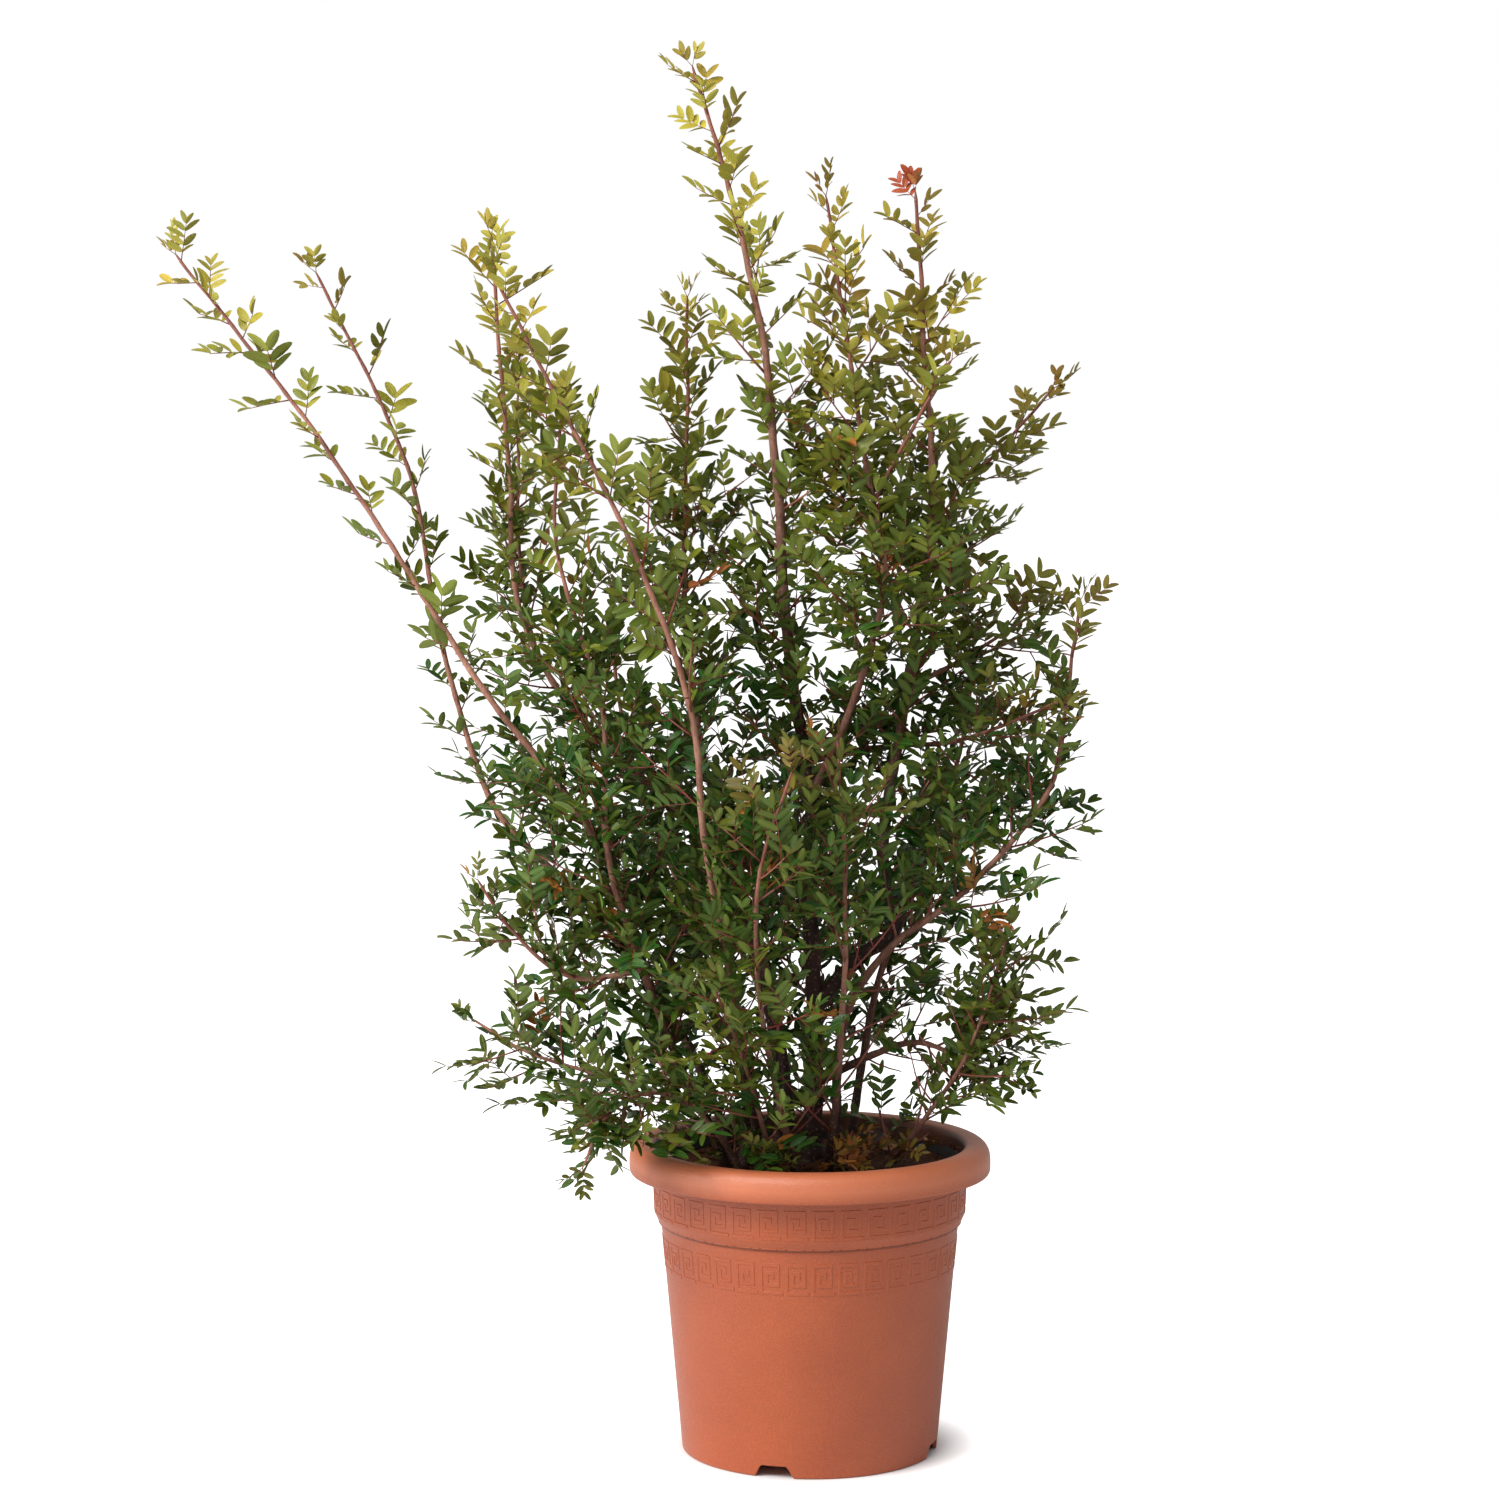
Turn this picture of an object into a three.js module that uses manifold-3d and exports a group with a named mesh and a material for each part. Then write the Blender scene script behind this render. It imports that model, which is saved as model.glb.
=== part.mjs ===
// Potted mastic tree: a shrubby evergreen with many stems, growing in potting soil inside
// a black nursery pot, which stands in a round moulded plastic pot with a rolled rim.
// Millimetres, +Z up, origin on the ground at the centre of the pot's base. -Y is the front.
import * as THREE from "three";
import { mergeVertices } from "three/addons/utils/BufferGeometryUtils.js";
import Module from "manifold-3d";

const wasm = await Module();
wasm.setup();

// ---- Driving dimensions -------------------------------------------------------------

const gap = 0.3; // clear space kept between two pieces that touch

// Outer pot
const potHeight = 300;
const rimRadius = 175; // outside of the rolled rim
const rimOverhang = 23; // how far the rim stands out from the collar
const rimHeight = 28; // from the rim's top to its hanging edge
const potWall = 3.2;
const collarHeight = 49; // plain band under the rim
const collarTaper = 1.8; // how much the collar narrows on the way down
const stepDepth = 6; // the body is this much narrower than the collar
const baseRadius = 124;
const footHeight = 12; // the floor stands this high, on a skirt and a central pad
const footPadRadius = 42;
const notchCount = 4;
const notchAngle = -106.8; // degrees from +X, the notch nearest the front
const notchBottomWidth = 38;
const notchTopWidth = 26;
const drainHoleRadius = 6;
const drainHoleCircle = 84;
const potSides = 56;

// Nursery pot inside it
const linerWall = 1.6;
const linerPlay = 3; // play between the nursery pot and the outer pot's wall, all round
const linerEdgePlay = 4.6; // play between its edge and the outer pot's collar
const linerEdgeRise = 7; // the nursery pot's edge above the soil
const linerWaves = 7; // bulges round its soft edge
const linerWaveDepth = 1.6;
const linerDrainRadius = 9;

// Soil
const soilBelowRim = 24;
const soilDome = 4; // the middle of the soil is this much higher than its edge
const plantingDepth = 25; // how far the stems reach down into the soil

// Plant
const stemSides = 6;
const sleeveSides = 8;
const leafletLength = 26;
const leafletWidth = 10;
const leafletThickness = 1.4;

// ---- Sizes that follow ----------------------------------------------------------------

const rimBottom = potHeight - rimHeight;
const stepZ = rimBottom - collarHeight;
const collarTopRadius = rimRadius - rimOverhang;
const collarBottomRadius = collarTopRadius - collarTaper;
const bodyTopRadius = collarBottomRadius - stepDepth;
const floorTop = footHeight + potWall;
const soilLevel = potHeight - soilBelowRim;

function lerp(a, b, t) {
  return a + (b - a) * t;
}

// Outside radius of the pot's tapered body at a height.
function bodyRadiusAt(z) {
  return lerp(baseRadius, bodyTopRadius, z / stepZ);
}

// ---- Solids -----------------------------------------------------------------------------

function toSolid(geometry) {
  const bare = geometry.clone();
  bare.deleteAttribute("normal");
  bare.deleteAttribute("uv");
  const merged = mergeVertices(bare, 1e-3);
  const mesh = new wasm.Mesh({
    numProp: 3,
    vertProperties: new Float32Array(merged.attributes.position.array),
    triVerts: new Uint32Array(merged.index.array),
  });
  return new wasm.Manifold(mesh);
}

function toGeometry(solid) {
  const mesh = solid.getMesh();
  const geometry = new THREE.BufferGeometry();
  const position = new THREE.BufferAttribute(new Float32Array(mesh.vertProperties), 3);
  geometry.setAttribute("position", position);
  geometry.setIndex(new THREE.BufferAttribute(new Uint32Array(mesh.triVerts), 1));
  geometry.computeVertexNormals();
  return geometry;
}

// The largest of the bodies that a cut leaves.
function largestBody(solid) {
  const bodies = solid.decompose();
  bodies.sort((a, b) => b.volume() - a.volume());
  return bodies[0];
}

function boxesMeet(a, b) {
  const p = a.boundingBox();
  const q = b.boundingBox();
  return [0, 1, 2].every((i) => p.min[i] < q.max[i] && q.min[i] < p.max[i]);
}

// A solid less every cutter that comes near it.
function cutBy(solid, cutters) {
  let left = solid;
  for (const cutter of cutters) {
    if (boxesMeet(left, cutter)) left = left.subtract(cutter);
  }
  return left;
}

// A solid of revolution about +Z from [radius, height] pairs that run outwards along the
// bottom, up the outside and back down the inside to the axis.
function turned(profile, sides) {
  const points = profile.map(([r, z]) => new THREE.Vector2(r, z));
  const lathe = new THREE.LatheGeometry(points, sides);
  lathe.rotateX(Math.PI / 2);
  return lathe;
}

// A round bar bent along a curve that never runs straight to the front or back.
// radiusAt(share of the length, angle round the bar).
function bentBar(curve, sides, steps, radiusAt) {
  const bar = new THREE.CylinderGeometry(1, 1, 1, sides, steps);
  const backward = new THREE.Vector3(0, 1, 0);
  const position = bar.attributes.position;
  for (let i = 0; i < position.count; i++) {
    const share = Math.round((position.getY(i) + 0.5) * steps) / steps;
    const u = position.getX(i);
    const v = position.getZ(i);
    const heading = curve.getTangentAt(share);
    const normal = new THREE.Vector3().crossVectors(heading, backward).normalize();
    const binormal = new THREE.Vector3().crossVectors(heading, normal);
    const radius = radiusAt(share, Math.atan2(v, u));
    const place = curve.getPointAt(share);
    place.addScaledVector(normal, u * radius).addScaledVector(binormal, -v * radius);
    position.setXYZ(i, place.x, place.y, place.z);
  }
  return bar;
}

const tree = new THREE.Group();
tree.name = "potted_mastic_tree";

function addPiece(name, solid, color, roughness) {
  const material = new THREE.MeshStandardMaterial({ color, roughness, metalness: 0 });
  const mesh = new THREE.Mesh(toGeometry(solid), material);
  mesh.name = name;
  tree.add(mesh);
}

// ---- Outer pot --------------------------------------------------------------------------

// Rolled rim, hollow underneath, over a plain collar, a stepped-in tapered body, and a
// raised floor on a notched skirt with a dished pad in the middle.
function makePot() {
  const padSlope = 4;
  const innerCollar = collarTopRadius - potWall;
  const profile = [
    [0, 0],
    [footPadRadius, 0],
    [footPadRadius + padSlope, footHeight],
    [bodyRadiusAt(footHeight) - potWall, footHeight],
    [baseRadius - potWall, 0],
    [baseRadius, 0],
    [bodyTopRadius, stepZ - 2],
    [bodyTopRadius, stepZ + 1],
    [collarBottomRadius - 1.5, stepZ + 1],
    [collarBottomRadius, stepZ + 2.5],
    [collarTopRadius, rimBottom],
    [collarTopRadius + 1, potHeight - 8],
    [collarTopRadius + 5, potHeight - potWall - 1],
    [rimRadius - potWall - 5, potHeight - potWall - 1],
    [rimRadius - potWall, potHeight - 9],
    [rimRadius - potWall, rimBottom],
    [rimRadius - 0.8, rimBottom],
    [rimRadius, rimBottom + 2],
    [rimRadius, potHeight - 11],
    [rimRadius - 2, potHeight - 5],
    [rimRadius - 6, potHeight - 1.2],
    [rimRadius - 12, potHeight],
    [innerCollar + 7, potHeight],
    [innerCollar + 2.5, potHeight - 1.5],
    [innerCollar + 0.5, potHeight - 5],
    [innerCollar, potHeight - 12],
    [collarBottomRadius - potWall, stepZ],
    [bodyTopRadius - potWall, stepZ - 6],
    [bodyRadiusAt(floorTop) - potWall, floorTop],
    [footPadRadius + padSlope - potWall, floorTop],
    [footPadRadius - potWall, potWall],
    [0, potWall],
  ];
  let pot = toSolid(turned(profile, potSides));

  const notch = new THREE.Shape();
  notch.moveTo(-notchBottomWidth / 2, -1);
  notch.lineTo(notchBottomWidth / 2, -1);
  notch.lineTo(notchTopWidth / 2, footHeight - 0.5);
  notch.lineTo(-notchTopWidth / 2, footHeight - 0.5);
  notch.closePath();
  for (let i = 0; i < notchCount; i++) {
    const angle = THREE.MathUtils.degToRad(notchAngle + (360 / notchCount) * i);
    const block = new THREE.ExtrudeGeometry(notch, { depth: 24, bevelEnabled: false });
    block.rotateX(Math.PI / 2);
    block.rotateZ(Math.PI / 2);
    block.translate(baseRadius - 18, 0, 0);
    block.rotateZ(angle);
    pot = pot.subtract(toSolid(block));

    const hole = new THREE.CylinderGeometry(drainHoleRadius, drainHoleRadius, 3 * potWall, 12);
    hole.rotateX(Math.PI / 2);
    hole.translate(drainHoleCircle, 0, footHeight + potWall / 2);
    hole.rotateZ(angle + Math.PI / notchCount);
    pot = pot.subtract(toSolid(hole));
  }
  return pot;
}

// ---- Nursery pot --------------------------------------------------------------------------

const linerFoot = floorTop + gap;
const linerTop = soilLevel + linerEdgeRise;
const linerFootRadius = bodyRadiusAt(linerFoot) - potWall - linerPlay;
const linerStepRadius = bodyTopRadius - potWall - linerPlay;
const linerEdgeRadius = collarTopRadius - potWall - linerEdgePlay;

// Outside radius of the nursery pot: clear of the outer pot's body below its step, and of
// its collar above.
function linerRadiusAt(z) {
  const stepHeight = stepZ - 6;
  if (z < stepHeight) {
    return lerp(linerFootRadius, linerStepRadius, (z - linerFoot) / (stepHeight - linerFoot));
  }
  return lerp(linerStepRadius, linerEdgeRadius, (z - stepHeight) / (linerTop - stepHeight));
}

// A tapered black cup with a hole in its floor and a soft, wavy edge.
function makeLiner() {
  const inner = (z) => linerRadiusAt(z) - linerWall;
  const straightTop = soilLevel + gap;
  const profile = [
    [linerDrainRadius, linerFoot],
    [linerRadiusAt(linerFoot), linerFoot],
    [linerRadiusAt(stepZ - 6), stepZ - 6],
    [linerRadiusAt(straightTop), straightTop],
    [linerRadiusAt(linerTop), linerTop],
    [inner(linerTop), linerTop],
    [inner(straightTop), straightTop],
    [inner(stepZ - 6), stepZ - 6],
    [inner(linerFoot + linerWall), linerFoot + linerWall],
    [linerDrainRadius, linerFoot + linerWall],
    [linerDrainRadius, linerFoot],
  ];
  const cup = turned(profile, potSides);
  const position = cup.attributes.position;
  for (let i = 0; i < position.count; i++) {
    if (position.getZ(i) < linerTop - 1) continue;
    const angle = Math.atan2(position.getY(i), position.getX(i));
    const wave = Math.sin(linerWaves * angle) + 0.6 * Math.sin(3 * angle + 1);
    const grow = 1 + (linerWaveDepth * wave) / linerRadiusAt(linerTop);
    position.setX(i, position.getX(i) * grow);
    position.setY(i, position.getY(i) * grow);
    position.setZ(i, position.getZ(i) + wave);
  }
  return toSolid(cup);
}

// ---- Soil -----------------------------------------------------------------------------------

const soilFoot = linerFoot + linerWall + gap;
const soilRadius = linerRadiusAt(soilLevel) - linerWall - gap;

// Height of the gently domed soil surface at a distance from the middle.
function soilHeightAt(distance) {
  return soilLevel + soilDome * (1 - (distance / soilRadius) ** 2);
}

function makeSoil() {
  const footRadius = linerRadiusAt(soilFoot) - linerWall - gap;
  const profile = [
    [0, soilFoot],
    [footRadius, soilFoot],
    [linerRadiusAt(stepZ - 6) - linerWall - gap, stepZ - 6],
    [soilRadius - 0.2, soilLevel],
    [soilRadius * 0.8, soilHeightAt(soilRadius * 0.8)],
    [soilRadius * 0.4, soilHeightAt(soilRadius * 0.4)],
    [0, soilHeightAt(0)],
  ];
  return toSolid(turned(profile, potSides));
}

// ---- Stems ----------------------------------------------------------------------------------

// Each stem: thickness at its foot and tip, then the points it runs through as
// [x, y, height above the soil]. A stem with no parent is rooted in the soil. A side stem
// starts on its parent's centre line. leaves = [share of the stem where its leaves begin,
// reach of the leaves from the stem there, reach at the tip].
const stems = {
  leader: {
    thickness: [21, 3.2],
    points: [[2, 8, 0], [5, 10, 130], [0, 18, 250], [0, 25, 375], [-15, 24, 450], [-28, 8, 610],
      [-45, -8, 790], [-68, -22, 900], [-112, -40, 1050]],
    leaves: [0.42, 64, 36],
  },
  right_tall: {
    parent: "leader",
    thickness: [16, 3.2],
    points: [[4, 10, 155], [50, 0, 205], [82, -10, 232], [70, 4, 300], [85, 18, 415], [102, 20, 510],
      [116, 8, 640], [110, 0, 760], [99, -10, 935]],
    leaves: [0.36, 60, 40],
  },
  right_inner: {
    parent: "leader",
    thickness: [9, 2.8],
    points: [[0, 24, 350], [45, -18, 465], [70, -50, 575], [58, -44, 650], [42, -30, 740], [14, -20, 930]],
    leaves: [0.28, 56, 38],
  },
  right_second: {
    thickness: [11, 2.8],
    points: [[30, -16, 0], [30, -15, 135], [72, -30, 212], [145, -40, 272], [225, -32, 365], [242, -28, 440],
      [255, -30, 550]],
    leaves: [0.3, 56, 38],
  },
  right_low: {
    parent: "leader",
    thickness: [9, 3],
    points: [[3, 9, 80], [60, -10, 110], [105, -30, 124], [155, -48, 105], [198, -60, 88]],
    leaves: [0.35, 46, 38],
  },
  right_front: {
    thickness: [6, 2.4],
    points: [[72, -26, 0], [104, -44, 45], [152, -78, 130], [186, -100, 245]],
    leaves: [0.25, 48, 40],
  },
  right_cross: {
    parent: "leader",
    thickness: [8, 2.6],
    points: [[-2, 25, 388], [40, 52, 398], [84, 48, 404], [140, 0, 414], [236, -60, 455]],
    leaves: [0.45, 50, 42],
  },
  right_fork: {
    parent: "right_tall",
    thickness: [6.4, 2.4],
    points: [[94, 20, 460], [140, 40, 484], [226, 70, 535]],
    leaves: [0.35, 54, 44],
  },
  right_back: {
    parent: "right_tall",
    thickness: [6.4, 2.4],
    points: [[102, 20, 512], [112, 50, 560], [150, 78, 645], [236, 80, 750]],
    leaves: [0.25, 52, 40],
  },
  right_side: {
    parent: "right_inner",
    thickness: [4.8, 2.4],
    points: [[60, -45, 640], [90, -60, 705], [130, -75, 775]],
    leaves: [0.25, 42, 36],
  },
  left_arching: {
    thickness: [12, 3],
    points: [[-62, -8, 0], [-70, -15, 115], [-155, -36, 230], [-225, -50, 355], [-310, -50, 465],
      [-405, -45, 615], [-470, -40, 710], [-600, -20, 875]],
    leaves: [0.3, 54, 36],
  },
  left_sparse: {
    thickness: [10, 2.8],
    points: [[-76, 24, 0], [-115, 30, 105], [-215, 55, 245], [-305, 60, 340], [-355, 60, 490], [-390, 50, 675],
      [-475, 30, 860]],
    leaves: [0.34, 44, 30],
  },
  left_upright: {
    thickness: [12, 3],
    points: [[-28, 20, 0], [-45, 40, 165], [-115, 64, 320], [-210, 56, 415], [-278, 42, 525], [-290, 30, 665],
      [-305, 10, 895]],
    leaves: [0.34, 56, 36],
  },
  left_back: {
    parent: "left_upright",
    thickness: [5.2, 2.2],
    points: [[-262, 46, 495], [-280, 72, 550], [-286, 96, 680], [-285, 100, 775]],
    leaves: [0.2, 42, 34],
  },
  left_leaning: {
    thickness: [13, 3.2],
    points: [[-48, -28, 0], [-70, -70, 155], [-100, -135, 335], [-112, -145, 450], [-160, -145, 590],
      [-230, -135, 730], [-290, -125, 845]],
    leaves: [0.28, 58, 38],
  },
  centre_back: {
    thickness: [11, 2.8],
    points: [[-14, 46, 0], [-35, 66, 155], [-95, 110, 345], [-122, 108, 530], [-120, 90, 675], [-120, 75, 840]],
    leaves: [0.3, 62, 38],
  },
  left_inner: {
    thickness: [10, 2.8],
    points: [[-80, -34, 0], [-138, -62, 140], [-192, -84, 315], [-196, -84, 450], [-238, -78, 595], [-236, -66, 730]],
    leaves: [0.22, 60, 40],
  },
  left_low: {
    parent: "left_inner",
    thickness: [6, 2.4],
    points: [[-160, -70, 200], [-230, -82, 196], [-285, -95, 245], [-312, -100, 290]],
    leaves: [0.3, 48, 40],
  },
  left_low_back: {
    parent: "left_sparse",
    thickness: [6, 2.4],
    points: [[-88, 26, 45], [-180, 66, 70], [-285, 84, 100], [-335, 84, 130]],
    leaves: [0.3, 48, 40],
  },
  left_hanging: {
    thickness: [6, 2.4],
    points: [[-66, -50, 0], [-110, -86, 70], [-155, -118, 90], [-192, -140, 72], [-214, -156, 28]],
    leaves: [0.32, 34, 30],
  },
  front_low: {
    thickness: [6, 2.4],
    points: [[-34, -64, 0], [-55, -110, 95], [-90, -190, 200]],
    leaves: [0.25, 50, 42],
  },
  front_centre: {
    thickness: [9, 2.6],
    points: [[16, -46, 0], [30, -100, 160], [30, -140, 300], [22, -135, 425]],
    leaves: [0.2, 62, 44],
  },
  front_left: {
    thickness: [8, 2.6],
    points: [[-14, -70, 0], [-45, -130, 155], [-50, -184, 300], [-20, -184, 400]],
    leaves: [0.2, 58, 44],
  },
  back_left: {
    thickness: [10, 2.8],
    points: [[-44, 66, 0], [-80, 120, 150], [-150, 190, 300], [-190, 215, 430], [-200, 205, 560]],
    leaves: [0.22, 66, 48],
  },
  back_right: {
    thickness: [10, 2.8],
    points: [[40, 52, 0], [70, 110, 160], [130, 170, 310], [165, 205, 450], [150, 200, 580]],
    leaves: [0.22, 66, 48],
  },
  back_centre: {
    thickness: [8, 2.6],
    points: [[4, 74, 0], [10, 140, 140], [-10, 215, 270], [-5, 245, 380]],
    leaves: [0.18, 60, 46],
  },
};

function nearestOn(curve, point) {
  const candidates = curve.getSpacedPoints(200);
  candidates.sort((a, b) => a.distanceTo(point) - b.distanceTo(point));
  return candidates[0];
}

function curveOf(name) {
  const stem = stems[name];
  const points = stem.points.map(([x, y, z]) => new THREE.Vector3(x, y, soilLevel + z));
  if (stem.parent) {
    points[0] = nearestOn(curveOf(stem.parent), points[0]);
  } else {
    points.unshift(points[0].clone().setZ(soilLevel - plantingDepth));
  }
  return new THREE.CatmullRomCurve3(points, false, "centripetal");
}

// A stem, or with grow the space that other pieces keep clear of it.
function stemSolid(name, grow = 0) {
  const curve = curveOf(name);
  const steps = Math.max(5, Math.round(curve.getLength() / 75));
  const ends = curve.points;
  const last = ends.length - 1;
  const footward = ends[0].clone().sub(ends[1]).normalize();
  const tipward = ends[last].clone().sub(ends[last - 1]).normalize();
  ends[0].addScaledVector(footward, grow);
  ends[last].addScaledVector(tipward, grow);
  curve.updateArcLengths();
  const [foot, tip] = stems[name].thickness;
  const radiusAt = (t) => lerp(foot, tip, t ** 0.75) / 2 + grow;
  return toSolid(bentBar(curve, stemSides, steps, radiusAt));
}

// ---- Leaves ---------------------------------------------------------------------------------

// The leaves of one stem, as the closed body of space that they fill along it: narrow
// where they begin, widest in the middle, drawn in over the growing tip.
function leafSleeve(name, grow = 0) {
  const [start, footReach, tipReach] = stems[name].leaves;
  const curve = curveOf(name);
  const points = [0, 0.25, 0.5, 0.75, 1].map((t) => curve.getPointAt(lerp(start, 1, t)));
  const beyond = curve.getTangentAt(1).multiplyScalar(leafletLength * 0.8 + grow);
  points.push(points[4].clone().add(beyond));
  points[0].addScaledVector(curve.getTangentAt(start), -grow);
  const spine = new THREE.CatmullRomCurve3(points, false, "centripetal");
  const steps = Math.max(5, Math.round(((1 - start) * curve.getLength()) / 80));
  const phase = footReach + 10 * start;
  const radiusAt = (t, angle) => {
    const swell = Math.min(1, 0.45 + 3 * t, 0.4 + 2.4 * (1 - t));
    const lump = 1 + 0.12 * Math.sin(2 * angle + 9 * t + phase);
    return lerp(footReach, tipReach, t) * swell * lump + grow;
  };
  return toSolid(bentBar(spine, sleeveSides, steps, radiusAt));
}

// ---- Fallen leaflets ------------------------------------------------------------------------

// Leaflets that lie on the soil: [x, y, turn in degrees, how much they curl up].
const fallenLeaves = {
  fallen_leaf_front: [-24, -104, 12, 3],
  fallen_leaf_left: [-72, -84, -28, 2],
  fallen_leaf_right: [58, -72, 35, 2.5],
  fallen_leaf_back: [78, 62, 80, 2],
};

function makeFallenLeaf([x, y, turn, curl]) {
  const leaf = new THREE.SphereGeometry(1, 10, 6);
  leaf.scale(leafletLength / 2, leafletWidth / 2, leafletThickness / 2);
  const position = leaf.attributes.position;
  for (let i = 0; i < position.count; i++) {
    const along = position.getX(i) / (leafletLength / 2);
    position.setZ(i, position.getZ(i) + curl * along * along);
  }
  leaf.rotateZ(THREE.MathUtils.degToRad(turn));
  const rest = soilHeightAt(Math.hypot(x, y)) + leafletThickness / 2 + gap;
  leaf.translate(x, y, rest);
  return toSolid(leaf);
}

// ---- Assembly -------------------------------------------------------------------------------

const names = Object.keys(stems);
const clearOfStems = names.map((name) => stemSolid(name, gap));
const rooted = names.filter((name) => !stems[name].parent);

addPiece("pot", makePot(), 0xb2613f, 0.45);
addPiece("nursery_pot", makeLiner(), 0x23262a, 0.5);
addPiece("soil", cutBy(makeSoil(), rooted.map((name) => stemSolid(name, gap))), 0x33241a, 0.95);

for (const [name, place] of Object.entries(fallenLeaves)) {
  addPiece(name, makeFallenLeaf(place), 0x9a5f2c, 0.7);
}

for (const name of names) {
  const { parent } = stems[name];
  let stem = stemSolid(name);
  if (parent) stem = largestBody(stem.subtract(stemSolid(parent, gap)));
  addPiece("stem_" + name, stem, 0x6b5a4a, 0.8);
}

// Leaves keep clear of the pot, of every stem and of the leaves placed before them.
const potSpace = toSolid(turned([
  [0, 0],
  [rimRadius + 2, 0],
  [rimRadius + 2, potHeight + 2],
  [0, potHeight + 2],
], 24));
const taken = [potSpace, ...clearOfStems];
for (const name of names) {
  const leaves = largestBody(cutBy(leafSleeve(name), taken));
  addPiece("leaves_" + name, leaves, 0x4f6b35, 0.55);
  taken.push(leafSleeve(name, 2 * gap));
}

export default tree;
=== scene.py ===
# %% [markdown]
# # A potted mastic tree
# Mastic is an evergreen shrub with many thin stems and small, leathery leaflets set in
# pairs. This one grows in potting soil inside a black nursery pot, which stands in a
# terracotta-coloured plastic pot. The lesson loads a measured frame of plain solids first,
# and then builds each visible piece round it: the pot, the soil, the stems and the leaves.

# %% Load the frame
import random
from math import atan2, cos, exp, hypot, pi, radians, sin, sqrt

import bmesh
import bpy
from mathutils import Matrix, Quaternion, Vector, noise


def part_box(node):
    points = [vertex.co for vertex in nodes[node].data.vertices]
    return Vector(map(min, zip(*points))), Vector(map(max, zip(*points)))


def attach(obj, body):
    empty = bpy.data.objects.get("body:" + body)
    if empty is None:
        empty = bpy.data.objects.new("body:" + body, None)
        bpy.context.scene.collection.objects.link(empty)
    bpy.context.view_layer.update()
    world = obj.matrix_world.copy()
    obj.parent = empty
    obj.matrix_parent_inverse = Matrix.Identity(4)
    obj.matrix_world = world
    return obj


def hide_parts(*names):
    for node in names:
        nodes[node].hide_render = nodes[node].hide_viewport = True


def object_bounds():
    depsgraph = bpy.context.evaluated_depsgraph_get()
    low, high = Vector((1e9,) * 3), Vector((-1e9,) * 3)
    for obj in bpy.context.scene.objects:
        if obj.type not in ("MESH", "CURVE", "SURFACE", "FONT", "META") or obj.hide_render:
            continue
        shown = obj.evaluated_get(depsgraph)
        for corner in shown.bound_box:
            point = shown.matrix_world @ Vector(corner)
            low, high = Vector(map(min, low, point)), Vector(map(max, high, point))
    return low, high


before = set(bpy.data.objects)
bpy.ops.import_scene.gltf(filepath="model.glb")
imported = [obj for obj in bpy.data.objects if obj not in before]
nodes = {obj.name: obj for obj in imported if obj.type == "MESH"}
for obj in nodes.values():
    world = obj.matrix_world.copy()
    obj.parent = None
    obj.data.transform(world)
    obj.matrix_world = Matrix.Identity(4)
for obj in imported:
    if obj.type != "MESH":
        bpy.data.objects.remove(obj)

cad_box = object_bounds()
print(len(nodes), "solids in the frame")

# %% [markdown]
# ## Camera
# The camera stands well back from the tree, a little above the pot, and looks slightly
# down. A long lens from far away keeps the pot's sides almost parallel. The shot is
# described by where the lens is, how far it tips down, and its focal length.

# %% Camera
CAMERA_PLACE = (-0.058, -3.558, 0.978)
CAMERA_TIP = radians(4.79)
FOCAL_SHARE = 3715 / 1500  # focal length over the width of the picture

SENSOR = 36  # mm
scene = bpy.context.scene


def place_in_scene(name, data):
    made = bpy.data.objects.new(name, data)
    scene.collection.objects.link(made)
    return made


camera_data = bpy.data.cameras.new("camera")
camera_data.sensor_width = SENSOR
camera_data.lens = SENSOR * FOCAL_SHARE
camera = place_in_scene("camera", camera_data)
camera.location = CAMERA_PLACE
camera.rotation_euler = (pi / 2 - CAMERA_TIP, 0, 0)
scene.camera = camera
print("lens", round(camera_data.lens, 1), "mm")

# %% [markdown]
# ## Mixing paint
# Materials are made of nodes. A small helper keeps the wiring short: it adds a node, sets
# its inputs, and links those inputs that are given as another node's output. Colours are
# written as the eye sees them, 0 to 255, and turned into the light values that Blender
# works with.

# %% Node helpers


def colour(r, g, b):
    """A colour as seen, 0 to 255, as the linear values that shaders use."""
    linear = [c / 255 / 12.92 if c <= 10 else ((c / 255 + 0.055) / 1.055) ** 2.4 for c in (r, g, b)]
    return (*linear, 1)


def node(tree, kind, inputs=None, **settings):
    made = tree.nodes.new(kind)
    for key, value in settings.items():
        setattr(made, key, value)
    for key, value in (inputs or {}).items():
        if isinstance(value, bpy.types.NodeSocket):
            tree.links.new(value, made.inputs[key])
        else:
            made.inputs[key].default_value = value
    return made


def maths(tree, operation, a, b=0.0, c=0.0):
    made = node(tree, "ShaderNodeMath", {0: a, 1: b, 2: c}, operation=operation)
    return made.outputs[0]


def mix_colours(tree, factor, a, b, blend="MIX"):
    made = node(tree, "ShaderNodeMix", {0: factor, 6: a, 7: b}, data_type="RGBA", blend_type=blend)
    return made.outputs[2]


def span(tree, value, low, high, to_low=0.0, to_high=1.0):
    """value's place between low and high, spread over to_low to to_high."""
    inputs = {"Value": value, 1: low, 2: high, 3: to_low, 4: to_high}
    return node(tree, "ShaderNodeMapRange", inputs).outputs[0]


def new_material(name):
    made = bpy.data.materials.new(name)
    made.use_nodes = True
    return made, made.node_tree, made.node_tree.nodes["Principled BSDF"]


def place_of(tree):
    return node(tree, "ShaderNodeTexCoord").outputs["Object"]


print("paint helpers ready")

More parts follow.
